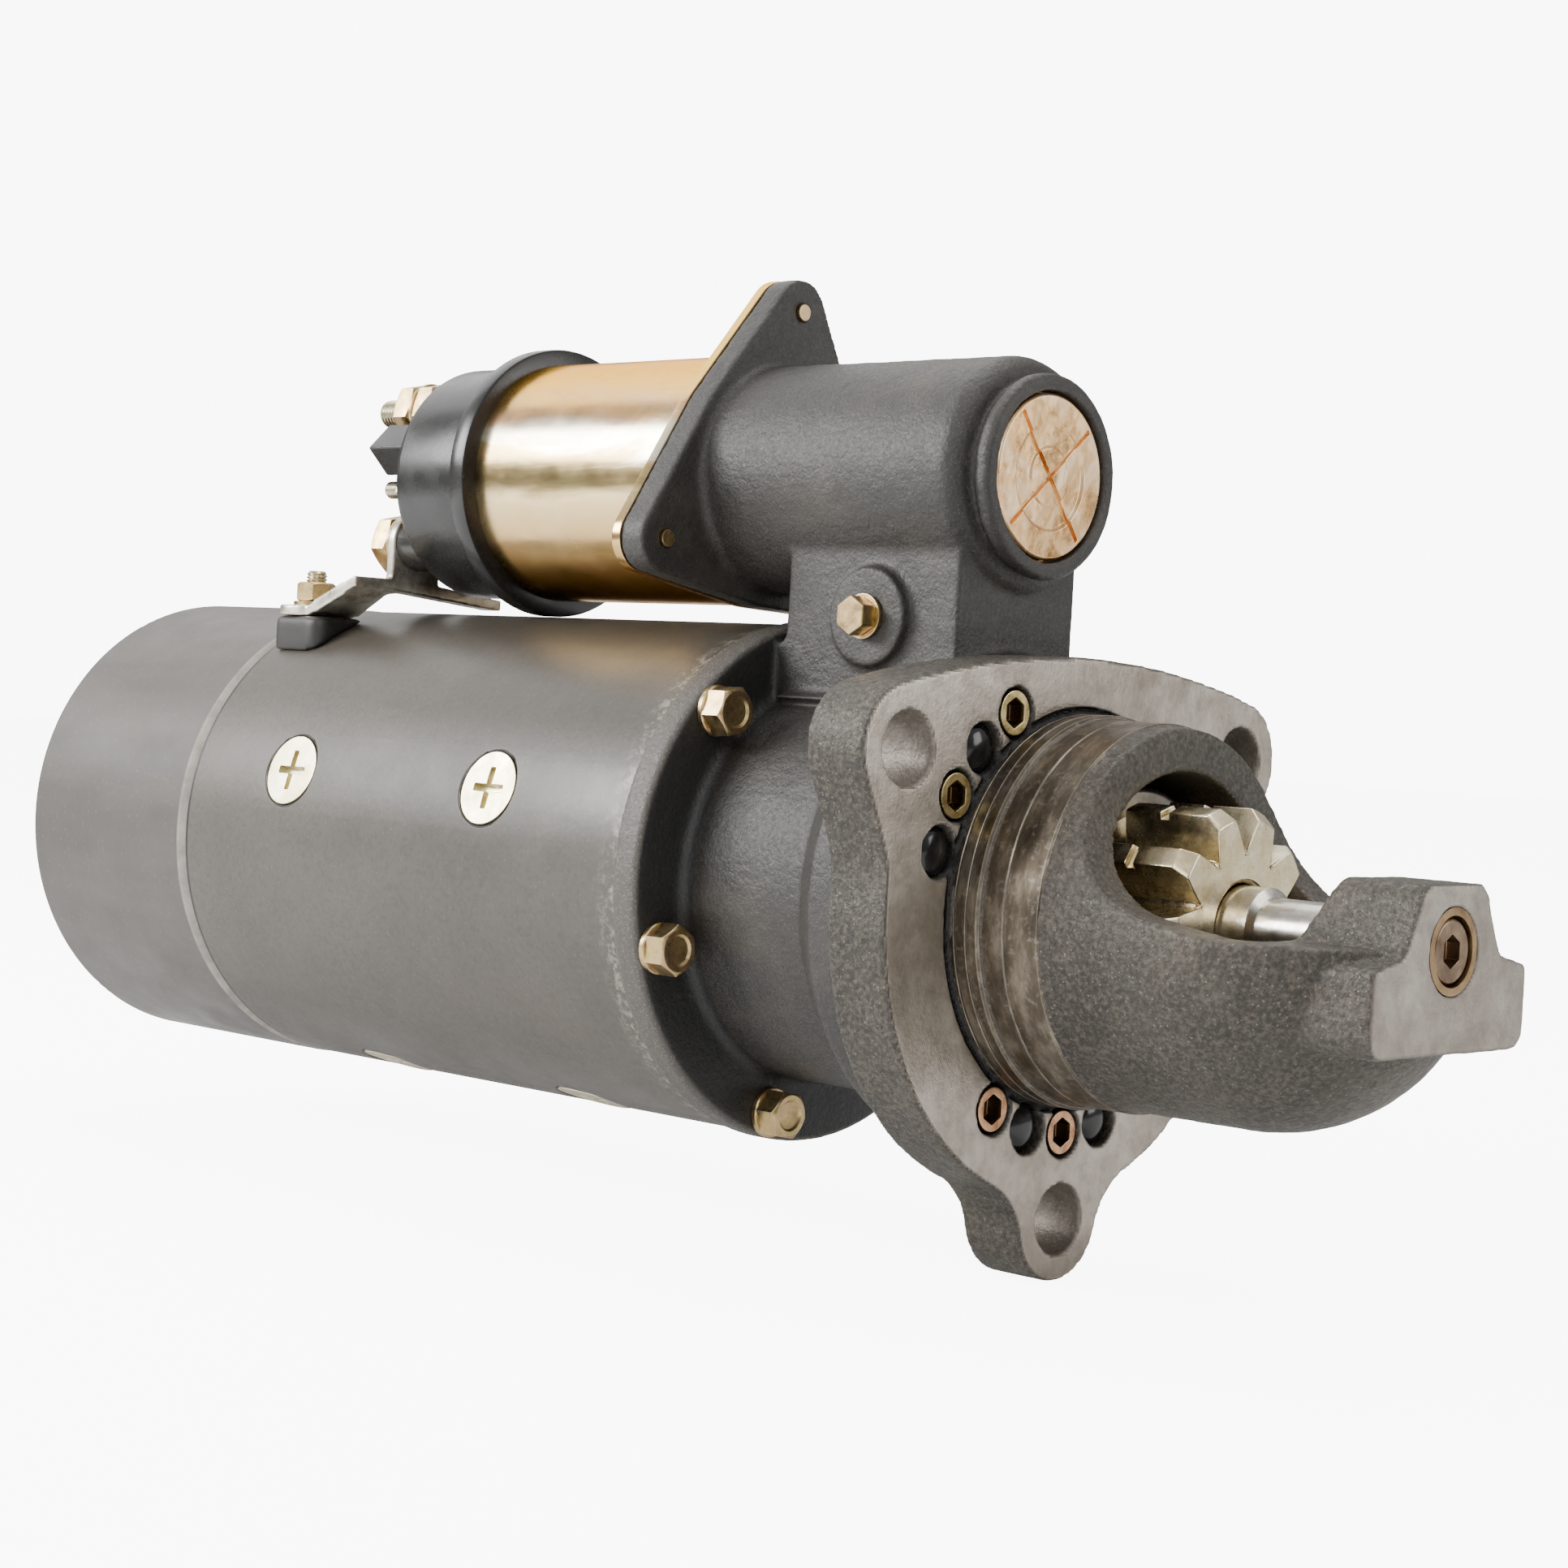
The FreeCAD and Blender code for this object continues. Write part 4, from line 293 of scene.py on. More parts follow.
def painted_cap():
    """The end cap's duller, browner black, bare and bright on the bevel next to the frame, with a painted
    shadow from its front edge forwards in the joint.
    """
    g = Graph("cap_enamel")
    streak = g.noise(40, 4, 0.6, vector=g.stretched(0.15, 1, 1))
    tone = g.ramp(streak, [(0.3, (0.062, 0.056, 0.050)), (0.7, (0.100, 0.089, 0.078))])
    tone = g.laid(tone, g.specks(520, 0.36, 0.4), 0.14, (0.24, 0.21, 0.17))
    tone = g.laid(tone, g.edge(0.0012), 0.5, (0.26, 0.23, 0.20))
    along = g.axes()[0]
    rim = g.remap(along, CAP_FRONT - 0.0026, CAP_FRONT - 0.0020)
    rubbed = g.ramp(g.noise(150, 5, 0.7), [(0.35, (0.30, 0.27, 0.24)), (0.65, (0.46, 0.42, 0.37))])
    tone = g.mix(rim, tone, rubbed)
    # painted shadow: black from the cap's front edge forwards, in the joint with the frame
    tone = g.mix(g.remap(along, CAP_FRONT - 0.0001, CAP_FRONT + 0.0001), tone, SHADOW)
    normal = g.bump(g.noise(420, 3, 0.5), 0.00014, 0.45)
    rough = g.varied(g.noise(60, 3, 0.5), 0.40, 0.56)
    return g.finish(tone, 0.0, rough, normal, Specular_IOR_Level=0.5)


def black_casting():
    """Sand-cast iron under black paint: grain in the paint, dust on it, a drier flange rim, and painted
    shade on the flange's front face.
    """
    g = Graph("black_casting")
    rim = g.attribute("machined")
    grain = g.noise(1100, 3, 0.6)
    tone = g.ramp(g.noise(14, 5, 0.6), [(0.3, (0.018, 0.0165, 0.0145)), (0.72, (0.036, 0.032, 0.027))])
    tone = g.laid(tone, g.patches(g.noise(46, 5, 0.65), 0.5, 0.75), 0.45, (0.072, 0.062, 0.050))
    tone = g.laid(tone, g.specks(1500, 0.36, 0.4), 0.25, (0.17, 0.155, 0.13))
    dry = g.laid((0.085, 0.076, 0.065), g.specks(1500, 0.40, 0.6), 0.6, (0.24, 0.22, 0.19))
    tone = g.mix(rim, tone, dry)
    tone = g.laid(tone, g.edge(0.0015), 0.35, RUBBED_EDGE)
    # painted shade: the flange's front face is darker than the rest of the casting
    axis = g.axes()
    face = g.times(g.remap(axis[0], LEVER_FACE - 0.0004, LEVER_FACE - 0.0001),
                   g.remap(axis[0], LEVER_FACE + 0.0042, LEVER_FACE + 0.0030),
                   g.remap(g.reach(axis), 0.0682, 0.0676))
    tone = g.mix(face, tone, (0.015, 0.0145, 0.014))
    normal = g.bump(g.noise(240, 4, 0.6), 0.0006, 0.5)
    normal = g.bump(g.noise(560, 4, 0.65), 0.0004, 0.5, normal)
    normal = g.bump(grain, 0.00026, 0.8, normal)
    return g.finish(tone, 0.0, g.varied(grain, 0.42, 0.60), normal, Specular_IOR_Level=0.5)


def raw_casting():
    """Oiled raw iron: rough dark cast skin, brown and mottled where it has been machined."""
    g = Graph("raw_casting")
    machined = g.attribute("machined")
    grain = g.noise(1000, 3, 0.6)
    cast = g.ramp(g.noise(22, 6, 0.68), [(0.28, (0.026, 0.022, 0.018)), (0.5, (0.054, 0.046, 0.037)),
                                         (0.75, (0.108, 0.089, 0.068))])
    mottle = g.noise(820, 4, 0.7)
    cast = g.mix(g.remap(mottle, 0.48, 0.66, 0.0, 0.50), cast, (0.150, 0.130, 0.100))
    cast = g.mix(g.remap(mottle, 0.52, 0.36, 0.0, 0.60), cast, (0.016, 0.016, 0.011))
    cast = g.mix(g.remap(g.noise(75, 4, 0.7), 0.50, 0.66, 0.0, 0.35), cast, (0.058, 0.060, 0.042))
    cast = g.laid(cast, g.specks(1100, 0.30, 0.22), 0.45, (0.34, 0.31, 0.26))
    cut = g.ramp(g.noise(30, 6, 0.7, 0.5), [(0.25, (0.24, 0.205, 0.165)), (0.5, (0.44, 0.39, 0.33)),
                                            (0.78, CAST_EDGE)])
    cut = g.laid(cut, g.patches(g.noise(150, 5, 0.7), 0.42, 0.70), 0.5, (0.19, 0.155, 0.115))
    axis = g.axes()
    # the pilot's turned bands are dirtier than the face
    pilot = g.times(g.remap(axis[0], 0.0004, 0.0010), g.remap(axis[0], 0.0300, 0.0298))
    cut = g.laid(cut, pilot, 0.90, (0.060, 0.050, 0.040))
    tone = g.mix(machined, cast, cut)
    tone = g.laid(tone, g.edge(0.0009), 0.85, CAST_EDGE)
    # painted shade in the relief round the pilot's foot
    reach = g.reach(axis)
    painted_groove_shade = g.times(g.remap(axis[0], 0.0004, 0.0001), g.remap(axis[0], -0.0032, -0.0028),
                     g.remap(reach, 0.0481, 0.0478), g.remap(reach, 0.0459, 0.0461))
    tone = g.mix(painted_groove_shade, tone, (0.010, 0.009, 0.008))
    turning = g.math("SINE", g.times(reach, 11000.0))
    facing = g.math("SINE", g.times(axis[0], 9000.0))
    lay = g.times(g.math("ADD", turning, facing), machined)
    skin = g.remap(machined, 0.0, 1.0, 1.0, 0.3)
    normal = g.bump(g.times(g.noise(200, 4, 0.6), skin), 0.0009, 0.5)
    normal = g.bump(g.times(g.noise(480, 4, 0.65), skin), 0.0006, 0.6, normal)
    normal = g.bump(g.times(grain, skin), 0.0003, 0.8, normal)
    normal = g.bump(lay, 0.00001, 0.25, normal)
    rough = g.remap(machined, 0.0, 1.0, 0.52, 0.40)
    return g.finish(tone, g.remap(machined, 0.0, 1.0, 0.30, 0.80), rough, normal)


def turned_iron():
    """The pilot's oily turned iron: dark brown in the middle of each band, bright on its edges."""
    g = Graph("turned_iron")
    cloud = g.noise(60, 5, 0.7, vector=g.stretched(3.0, 1, 1))
    tone = g.ramp(cloud, [(0.32, (0.045, 0.036, 0.026)), (0.5, (0.110, 0.090, 0.066)),
                          (0.7, (0.26, 0.225, 0.175))])
    tone = g.mix(g.remap(g.noise(420, 4, 0.7), 0.55, 0.70, 0.0, 0.5), tone, (0.34, 0.30, 0.25))
    tone = g.laid(tone, g.edge(0.0004), 0.9, (0.72, 0.66, 0.56))
    lay = g.noise(2400, 2, 0.5, vector=g.stretched(1.0, 0.03, 0.03))
    normal = g.bump(lay, 0.00004, 0.5)
    return g.finish(tone, 0.85, g.varied(g.noise(200, 4, 0.6), 0.30, 0.46), normal)


def yellow_zinc():
    """Chromated zinc plate: straw gold with greenish and pink films and rubbed bright edges."""
    g = Graph("yellow_zinc")
    film = g.noise(160, 4, 0.6, 0.8)
    tone = g.ramp(film, [(0.25, (0.36, 0.26, 0.11)), (0.45, (0.58, 0.43, 0.19)),
                         (0.60, (0.54, 0.36, 0.20)), (0.78, (0.42, 0.37, 0.18))])
    tone = g.laid(tone, g.edge(0.0005), 0.5, (0.85, 0.80, 0.68))
    tone = g.laid(tone, g.patches(g.noise(420, 4, 0.7), 0.5, 0.75), 0.45, (0.13, 0.10, 0.06))
    normal = g.bump(g.noise(1400, 3, 0.6), 0.00005, 0.35)
    return g.finish(tone, 1.0, g.varied(g.noise(300, 4, 0.6), 0.24, 0.42), normal)


def iridescent_zinc_with_painted_reflections():
    """The solenoid's bright chromate in bands of rose, gold and green that drift along the can; the bands by
    height are painted reflections: dark painted shade at the bottom, a white painted highlight just above
    the middle with a darker band under it, and a brighter top.
    """
    g = Graph("iridescent_zinc_with_painted_reflections")
    axis = g.axes()
    height = g.math("SUBTRACT", axis[2], SOLENOID_Z)
    drift = g.noise(24, 4, 0.6, 1.2, vector=g.stretched(0.45, 1, 1.6))
    # painted reflections: the colour follows height on the can, with a painted highlight band and painted
    # shade at the bottom
    height_reflection_band = g.math("ADD", g.remap(height, -0.034, 0.034), g.varied(drift, -0.10, 0.10))
    tone = g.ramp(height_reflection_band, [(0.00, (0.16, 0.11, 0.05)), (0.14, (0.40, 0.26, 0.09)), (0.26, (0.74, 0.50, 0.22)),
                         (0.42, (0.80, 0.62, 0.34)), (0.50, (0.42, 0.32, 0.15)), (0.56, (0.60, 0.45, 0.22)),
                         (0.60, (0.97, 0.90, 0.72)), (0.68, (0.98, 0.88, 0.66)), (0.74, (0.90, 0.58, 0.32)),
                         (0.86, (0.97, 0.62, 0.18)), (1.00, (0.97, 0.66, 0.18))])
    patch = g.noise(70, 5, 0.65, 1.5, vector=g.stretched(0.6, 1, 1.4))
    tone = g.mix(g.remap(patch, 0.52, 0.70, 0.0, 0.4), tone, (0.76, 0.36, 0.22))
    tone = g.mix(g.remap(patch, 0.30, 0.42, 0.30, 0.0), tone, (0.42, 0.44, 0.18))
    tone = g.laid(tone, g.edge(0.0006), 0.6, (0.95, 0.88, 0.72))
    scratch = g.noise(900, 3, 0.5, vector=g.stretched(0.04, 1, 1))
    normal = g.bump(scratch, 0.00002, 0.35)
    rough = g.varied(g.noise(80, 4, 0.6), 0.16, 0.28)
    return g.finish(tone, 1.0, rough, normal, Specular_Tint=(1.0, 0.66, 0.34, 1.0))


def plug_metal():
    """Pink-gold plated plug, hazed and dimpled."""
    g = Graph("plug_metal")
    cloud = g.noise(95, 5, 0.65, 0.8)
    tone = g.ramp(cloud, [(0.28, (0.52, 0.26, 0.08)), (0.5, (0.90, 0.56, 0.26)), (0.72, (1.00, 0.80, 0.56))])
    tone = g.laid(tone, g.patches(g.noise(260, 4, 0.7), 0.52, 0.70), 0.35, (0.46, 0.27, 0.12))
    tone = g.laid(tone, g.edge(0.0006), 0.35, (0.25, 0.16, 0.10))
    normal = g.bump(g.noise(70, 3, 0.55), 0.0009, 0.45)
    normal = g.bump(g.noise(300, 4, 0.6), 0.0002, 0.35, normal)
    return g.finish(tone, 1.0, g.varied(cloud, 0.20, 0.38), normal)


def machined_steel(name, dark, light, low=0.2, high=0.36, turned=False):
    """Cut metal from its dark tone to its light one, stained, with a turned or an even lay."""
    g = Graph(name)
    tone = g.ramp(g.noise(120, 5, 0.65), [(0.3, dark), (0.7, light)])
    stain = g.patches(g.noise(500, 3, 0.6), 0.55, 0.75)
    tone = g.laid(tone, stain, 0.3, tuple(0.4 * c for c in dark))
    lay = g.noise(2400, 3, 0.5, vector=g.stretched(1.0, 0.1, 0.1)) if turned else g.noise(1800, 3, 0.5)
    normal = g.bump(lay, 0.00003, 0.4)
    return g.finish(tone, 1.0, g.varied(g.noise(260, 4, 0.6), low, high), normal)


def socket_screws():
    """Socket-head screws: straw zinc above the shaft, copper-brown below it, with painted shade inside the
    sockets and counterbores.
    """
    g = Graph("socket_screws")
    axis = g.axes()
    cloud = g.noise(300, 4, 0.65)
    straw = g.ramp(cloud, [(0.3, (0.40, 0.29, 0.10)), (0.7, (0.84, 0.70, 0.36))])
    copper = g.ramp(cloud, [(0.3, (0.28, 0.13, 0.06)), (0.7, (0.72, 0.42, 0.24))])
    tone = g.mix(g.remap(axis[2], -0.020, 0.0), copper, straw)
    # painted shade: darker deeper than 1.0 to 1.6 mm behind the flange face, in the sockets and counterbores
    tone = g.mix(g.remap(axis[0], -0.0010, -0.0016), tone, (0.15, 0.10, 0.05))
    tone = g.laid(tone, g.edge(0.0004), 0.5, (0.90, 0.80, 0.58))
    normal = g.bump(g.noise(1600, 3, 0.5), 0.00003, 0.4)
    return g.finish(tone, 1.0, g.varied(g.noise(260, 4, 0.6), 0.22, 0.38), normal)


def tinned_strap():
    """Tinned copper bar, whitish over the stud and tarnished brown along its side arm."""
    g = Graph("tinned_strap")
    cloud = g.noise(120, 5, 0.7)
    tin = g.ramp(cloud, [(0.30, (0.36, 0.31, 0.24)), (0.5, (0.74, 0.69, 0.58)), (0.7, (0.93, 0.90, 0.82))])
    bronze = g.ramp(cloud, [(0.30, (0.10, 0.075, 0.045)), (0.7, (0.38, 0.31, 0.22))])
    tone = g.mix(g.remap(g.axes()[1], -0.020, -0.010), tin, bronze)
    streak = g.patches(g.noise(60, 5, 0.7, vector=g.stretched(0.3, 1.4, 1)), 0.55, 0.75)
    tone = g.laid(tone, streak, 0.6, (0.20, 0.15, 0.09))
    normal = g.bump(g.noise(500, 4, 0.6), 0.00012, 0.5)
    return g.finish(tone, 0.9, g.varied(g.noise(200, 4, 0.6), 0.26, 0.46), normal)


def moulded(name, dark, light, low, high, grain=0.3):
    """Moulded plastic or rubber with a fine skin."""
    g = Graph(name)
    tone = g.ramp(g.noise(60, 4, 0.6), [(0.3, dark), (0.7, light)])
    tone = g.laid(tone, g.edge(0.0006), 0.35, tuple(min(1.0, 3.5 * c) for c in light))
    normal = g.bump(g.noise(1100, 3, 0.55), 0.00006, grain)
    return g.finish(tone, 0.0, g.varied(g.noise(90, 4, 0.6), low, high), normal)


MATERIALS = {
    "frame_paint": painted_frame(),
    "cap_paint": painted_cap(),
    "lever_casting": black_casting(),
    "nose_casting": raw_casting(),
    "turned_iron": turned_iron(),
    "zinc_yellow": yellow_zinc(),
    "pale_gold_zinc": machined_steel("pale_zinc", (0.62, 0.54, 0.30), (0.88, 0.82, 0.62), 0.24, 0.40),
    "solenoid_zinc": iridescent_zinc_with_painted_reflections(),
    "plug": plug_metal(),
    "black_plastic": moulded("black_plastic", (0.008, 0.008, 0.008), (0.020, 0.019, 0.018), 0.20, 0.34),
    "grey_plastic": moulded("grey_plastic", (0.10, 0.095, 0.085), (0.16, 0.15, 0.135), 0.45, 0.6, 0.5),
    "dark_plastic": moulded("dark_plastic", (0.010, 0.0095, 0.009), (0.026, 0.024, 0.021), 0.40, 0.55, 0.5),
    "black_gloss": moulded("black_gloss", SHADOW, (0.008, 0.008, 0.008), 0.12, 0.20, 0.1),
    "black_rubber": moulded("black_rubber", (0.012, 0.012, 0.012), (0.02, 0.02, 0.02), 0.55, 0.7, 0.6),
    "copper_screw": socket_screws(),
    "copper": machined_steel("copper", (0.55, 0.27, 0.14), (0.78, 0.44, 0.27), 0.25, 0.42),
    "tinned_strap": tinned_strap(),
    "bronze_bush": machined_steel("bronze_bush", (0.20, 0.12, 0.055), (0.46, 0.32, 0.17), 0.3, 0.46),
    "brown_plug": machined_steel("brown_plug", (0.12, 0.075, 0.045), (0.34, 0.24, 0.155), 0.24, 0.4),
    "terminal_steel": machined_steel("terminal_steel", (0.52, 0.44, 0.28), (0.84, 0.76, 0.58), 0.18, 0.34),
    "iron_core": machined_steel("iron_core", (0.16, 0.15, 0.15), (0.30, 0.29, 0.28), 0.35, 0.5),
    "bright_steel": machined_steel("bright_steel", (0.42, 0.39, 0.34), (0.70, 0.67, 0.61), 0.16, 0.3, True),
    "drive_steel": machined_steel("drive_steel", (0.20, 0.18, 0.15), (0.38, 0.35, 0.31), 0.3, 0.46),
    "pinion_steel": machined_steel("pinion_steel", (0.72, 0.56, 0.30), (1.0, 0.92, 0.68), 0.18, 0.34),
    "spring_steel": machined_steel("spring_steel", (0.14, 0.13, 0.13), (0.30, 0.29, 0.28), 0.3, 0.45),
    "carbon": moulded("carbon", (0.03, 0.03, 0.03), (0.06, 0.06, 0.06), 0.5, 0.65),
}
SLOT_OF = {row["node"]: row["material_slot"] for row in frame["record"]["subparts"]}
BODY_OF = {node: body for body, nodes in frame["record"]["behaviour"]["bodies"].items() for node in nodes}
FINISH_OF = dict(SLOT_OF, commutator_end_cap="cap_paint", access_plug="plug", nose_plug="brown_plug",
                 terminal_insulator="dark_plastic", terminal_nuts="zinc_yellow")


# ------------------------------------------------------------------ pieces made from CAD nodes

WELD = 2e-6                 # vertices closer than this are one
FLAT = math.radians(0.6)    # faces that meet at less than this are one flat face
BEVEL_FROM = math.radians(32)


def dress(piece, node, finish=None):
    """The piece gets its material and its body, and the node is hidden."""
    piece.data.materials.clear()
    piece.data.materials.append(MATERIALS[finish or FINISH_OF[node]])
    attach(piece, BODY_OF[node])
    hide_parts(node)


def new_piece(name, mesh):
    piece = bpy.data.objects.new(name, mesh)
    bpy.context.scene.collection.objects.link(piece)
    return piece


def copied(node, name):
    """A copy of a node's mesh with its vertices joined and its flat faces whole."""
    mesh = bpy.data.meshes.new(name)
    work = bmesh.new()
    work.from_mesh(frame["nodes"][node].data)
    bmesh.ops.remove_doubles(work, verts=work.verts, dist=WELD)
    bmesh.ops.dissolve_limit(work, angle_limit=FLAT, verts=work.verts, edges=work.edges)
    work.to_mesh(mesh)
    work.free()
    return new_piece(name, mesh)


def applied(piece):
    """The piece's modifiers become its mesh."""
    bpy.context.view_layer.update()
    evaluated = piece.evaluated_get(bpy.context.evaluated_depsgraph_get())
    mesh = bpy.data.meshes.new_from_object(evaluated)
    piece.modifiers.clear()
    old = piece.data
    piece.data = mesh
    bpy.data.meshes.remove(old)


def smooth_shaded(piece, angle):
    """Smooth shading, with a sharp edge wherever faces meet at more than the angle in degrees."""
    piece.data.shade_smooth()
    piece.data.set_sharp_from_angle(angle=math.radians(angle))


def softened(node, width):
    """A node's shape with its edges broken."""
    piece = copied(node, "soft_" + node)
    bevel = piece.modifiers.new("bevel", "BEVEL")
    bevel.width = width
    bevel.segments = 2
    bevel.limit_method = "ANGLE"
    bevel.angle_limit = BEVEL_FROM
    bevel.use_clamp_overlap = False
    bevel.miter_outer = "MITER_ARC"
    applied(piece)
    smooth_shaded(piece, 30)
    weigh = piece.modifiers.new("weigh", "WEIGHTED_NORMAL")
    weigh.keep_sharp = True
    applied(piece)
    dress(piece, node)


def remeshed(node, name, voxel, rounds):
    """A node's shape in small even faces with its edges worn round: the piece, and its open bmesh."""
    piece = copied(node, name)
    remesh = piece.modifiers.new("remesh", "REMESH")
    remesh.mode = "VOXEL"
    remesh.voxel_size = voxel
    applied(piece)
    work = bmesh.new()
    work.from_mesh(piece.data)
    for _ in range(rounds):
        bmesh.ops.smooth_vert(work, verts=work.verts, factor=0.5, use_axis_x=True, use_axis_y=True,
                              use_axis_z=True)
    return piece, work


def casting(node, voxel, rounds, relief, machined):
    """A node's shape as a sand casting, with an uneven skin except where machined says it is cut."""
    piece, work = remeshed(node, "cast_" + node, voxel, rounds)
    work.normal_update()
    cut = []
    for vertex in work.verts:
        share = machined(vertex.co, vertex.normal)
        cut.append(share)
        if share < 1.0:
            coarse = noise.noise(vertex.co * 160.0) * 0.6 + noise.noise(vertex.co * 420.0) * 0.4
            vertex.co += vertex.normal * (relief * (1.0 - share) * coarse)
    work.to_mesh(piece.data)
    work.free()
    attribute = piece.data.attributes.new("machined", "FLOAT", "POINT")
    attribute.data.foreach_set("value", cut)
    piece.data.shade_smooth()
    dress(piece, node)


def rounded(node, name, voxel, rounds, reshape=None):
    """A node's shape with worn, rounded edges, and with its points moved by reshape."""
    piece, work = remeshed(node, name, voxel, rounds)
    if reshape:
        for vertex in work.verts:
            vertex.co = reshape(vertex.co.copy())
    work.to_mesh(piece.data)
    work.free()
    piece.data.shade_smooth()
    dress(piece, node)


def step(value, low, high):
    """0 below low, 1 above high, straight between."""
    return min(1.0, max(0.0, (value - low) / (high - low)))


def nose_machined(co, normal):
    """Where the nose housing has been faced, turned or bored."""
    reach = math.hypot(co.y, co.z)
    face = step(normal.x, 0.80, 0.95) * step(0.0016 - abs(co.x), 0.0, 0.0006)
    pilot = (step(co.x, 0.0006, 0.0012) * step(0.0245 - co.x, 0.0, 0.0008)
             * step(0.0475 - reach, 0.0, 0.0004))
    boss = step(co.x, 0.0996, 0.1004) * step(normal.x, 0.7, 0.9)
    bore = step(0.0345 - reach, 0.0, 0.0004) * step(0.071 - co.x, 0.0, 0.001)
    wall = 0.0
    for angle in HOLE_ANGLES:
        turn = math.radians(angle)
        away = math.hypot(co.y - BOLT_CIRCLE * math.cos(turn), co.z - BOLT_CIRCLE * math.sin(turn))
        wall = max(wall, step(0.0090 - away, 0.0, 0.0004))
    return max(face, 0.4 * pilot, 0.7 * boss, 0.5 * bore, 0.35 * wall)


def lever_machined(co, _normal):
    """The lever housing is painted all over, and only the drier rim of its flange is marked."""
    reach = math.hypot(co.y, co.z)
    flange = step(co.x, -0.0895, -0.089) * step(-0.0775 - co.x, 0.0, 0.001) * step(reach, 0.052, 0.054)
    flange *= step(0.068 - reach, 0.0, 0.001)
    return 0.8 * flange


CAST_VOXEL = 0.0008
CAST_ROUNDS = 3
EDGE_WIDTHS = {             # millimetres
    "field_frame": 0.5, "commutator_end_cap": 0.5, "pole_screws": 0.25, "end_cap_bolts": 0.25,
    "nose_screws": 0.25, "lever_pivot_bolt": 0.35, "pivot_washer": 0.25, "access_plug": 0.2,
    "nose_plug": 0.2, "solenoid_case": 0.35, "solenoid_screws": 0.3, "terminal_shroud": 0.6,
    "pinion": 0.35, "clutch_shell": 0.4,
}

casting("nose_housing", CAST_VOXEL, CAST_ROUNDS, 0.00020, nose_machined)
casting("lever_housing", CAST_VOXEL, CAST_ROUNDS, 0.00018, lever_machined)
for node, width in EDGE_WIDTHS.items():
    softened(node, width * MM)


# ------------------------------------------------------------------ strap and the pad under it

STRAP_BEND = (-0.2458, -0.2330)     # where the CAD's straight rise starts and ends
STRAP_SWEEP = (-0.2486, -0.2285)    # where the photographed bar's longer rise starts and ends
STRAP_RISE = 0.0085
STRAP_TAB = (0.0735, 0.0760)        # heights between which the bar gives way to the upright tab
STRAP_ARM = (-0.026, -0.018)        # and the sides between which it gives way to the side arm
STRAP_VOXEL, PAD_VOXEL = 0.00045, 0.00070
STRAP_ROUNDS, PAD_ROUNDS = 3, 24


def swept_strap(co):
    """The strap rises from its lug in one gentle sweep."""
    if co.z < STRAP_TAB[1]:
        change = step(co.x, *STRAP_SWEEP) - step(co.x, *STRAP_BEND)
        share = (1.0 - step(co.z, *STRAP_TAB)) * (1.0 - step(co.y, *STRAP_ARM))
        co.z += STRAP_RISE * change * share
    return co


rounded("connector_strap", "swept_strap", STRAP_VOXEL, STRAP_ROUNDS, swept_strap)
rounded("terminal_insulator", "terminal_pad", PAD_VOXEL, PAD_ROUNDS)


# ------------------------------------------------------------------ shapes built from rings of points

def add_rings(work, rings, closed_start=True, closed_end=True):
    """Rings of points joined by quads, with flat ends."""
    loops = [[work.verts.new(point) for point in ring] for ring in rings]
    count = len(loops[0])
    for first, second in zip(loops, loops[1:]):
        for i in range(count):
            j = (i + 1) % count
            work.faces.new((first[i], first[j], second[j], second[i]))
    if closed_start:
        work.faces.new(list(reversed(loops[0])))
    if closed_end:
        work.faces.new(loops[-1])


def frame_at(centre, axis):
    """An axis and two directions across it, for placing points round it."""
    axis = Vector(axis).normalized()
    side = axis.cross(Vector((0, 1, 0)) if abs(axis.y) < 0.9 else Vector(UP)).normalized()
    return Vector(centre), axis, side, axis.cross(side)


def lathe(work, centre, axis, profile, count=40, capped=True):
    """A turned shape from (distance along, radius) pairs."""
    origin, along, side, other = frame_at(centre, axis)
    rings = []
    for distance, radius in profile:
        ring = []
        for i in range(count):
            turn = 2 * math.pi * i / count
            ring.append(origin + along * distance
                        + (side * math.cos(turn) + other * math.sin(turn)) * radius)
        rings.append(ring)
    add_rings(work, rings, capped, capped)


CROWN_SHARE = 0.93      # a hexagon's flat top, as a share of its inner radius
CHAMFER_SLOPE = math.tan(math.radians(28))
POINTS_PER_SIDE = 8


def hexagon_head(work, centre, axis, across, height, turn, dish=0.0, foot=False):
    """A hexagon with a chamfered crown, an optional dished top and a chamfered foot for nuts."""
    origin, along, side, other = frame_at(centre, axis)
    flat = across / 2
    crown = flat * CROWN_SHARE
    count = 6 * POINTS_PER_SIDE

    def reach(i):
        local = (i % POINTS_PER_SIDE) / POINTS_PER_SIDE * math.pi / 3 - math.pi / 6
        return flat / math.cos(local)

    def drop(i):
        return (reach(i) - crown) * CHAMFER_SLOPE

    def ring(height_at, radius_at):
        points = []
        for i in range(count):
            angle = 2 * math.pi * i / count + turn
            points.append(origin + along * height_at(i)
                          + (side * math.cos(angle) + other * math.sin(angle)) * radius_at(i))
        return points

    rings = []
    if foot:
        rings.append(ring(lambda i: 0.0, lambda i: crown))
        rings.append(ring(drop, lambda i: reach(i) - 0.00005))
        rings.append(ring(lambda i: drop(i) + 0.00012, reach))
    else:
        rings.append(ring(lambda i: 0.0, reach))
    rings.append(ring(lambda i: height - drop(i) - 0.00014, reach))
    rings.append(ring(lambda i: height - drop(i), lambda i: reach(i) - 0.0001))
    rings.append(ring(lambda i: height, lambda i: crown))
    rings.append(ring(lambda i: height, lambda i: crown - 0.00025))
    if dish:
        rings.append(ring(lambda i: height - 0.00005, lambda i: crown * 0.78))
        rings.append(ring(lambda i: height - dish * 0.8, lambda i: crown * 0.66))
        rings.append(ring(lambda i: height - dish, lambda i: crown * 0.45))
    add_rings(work, rings)


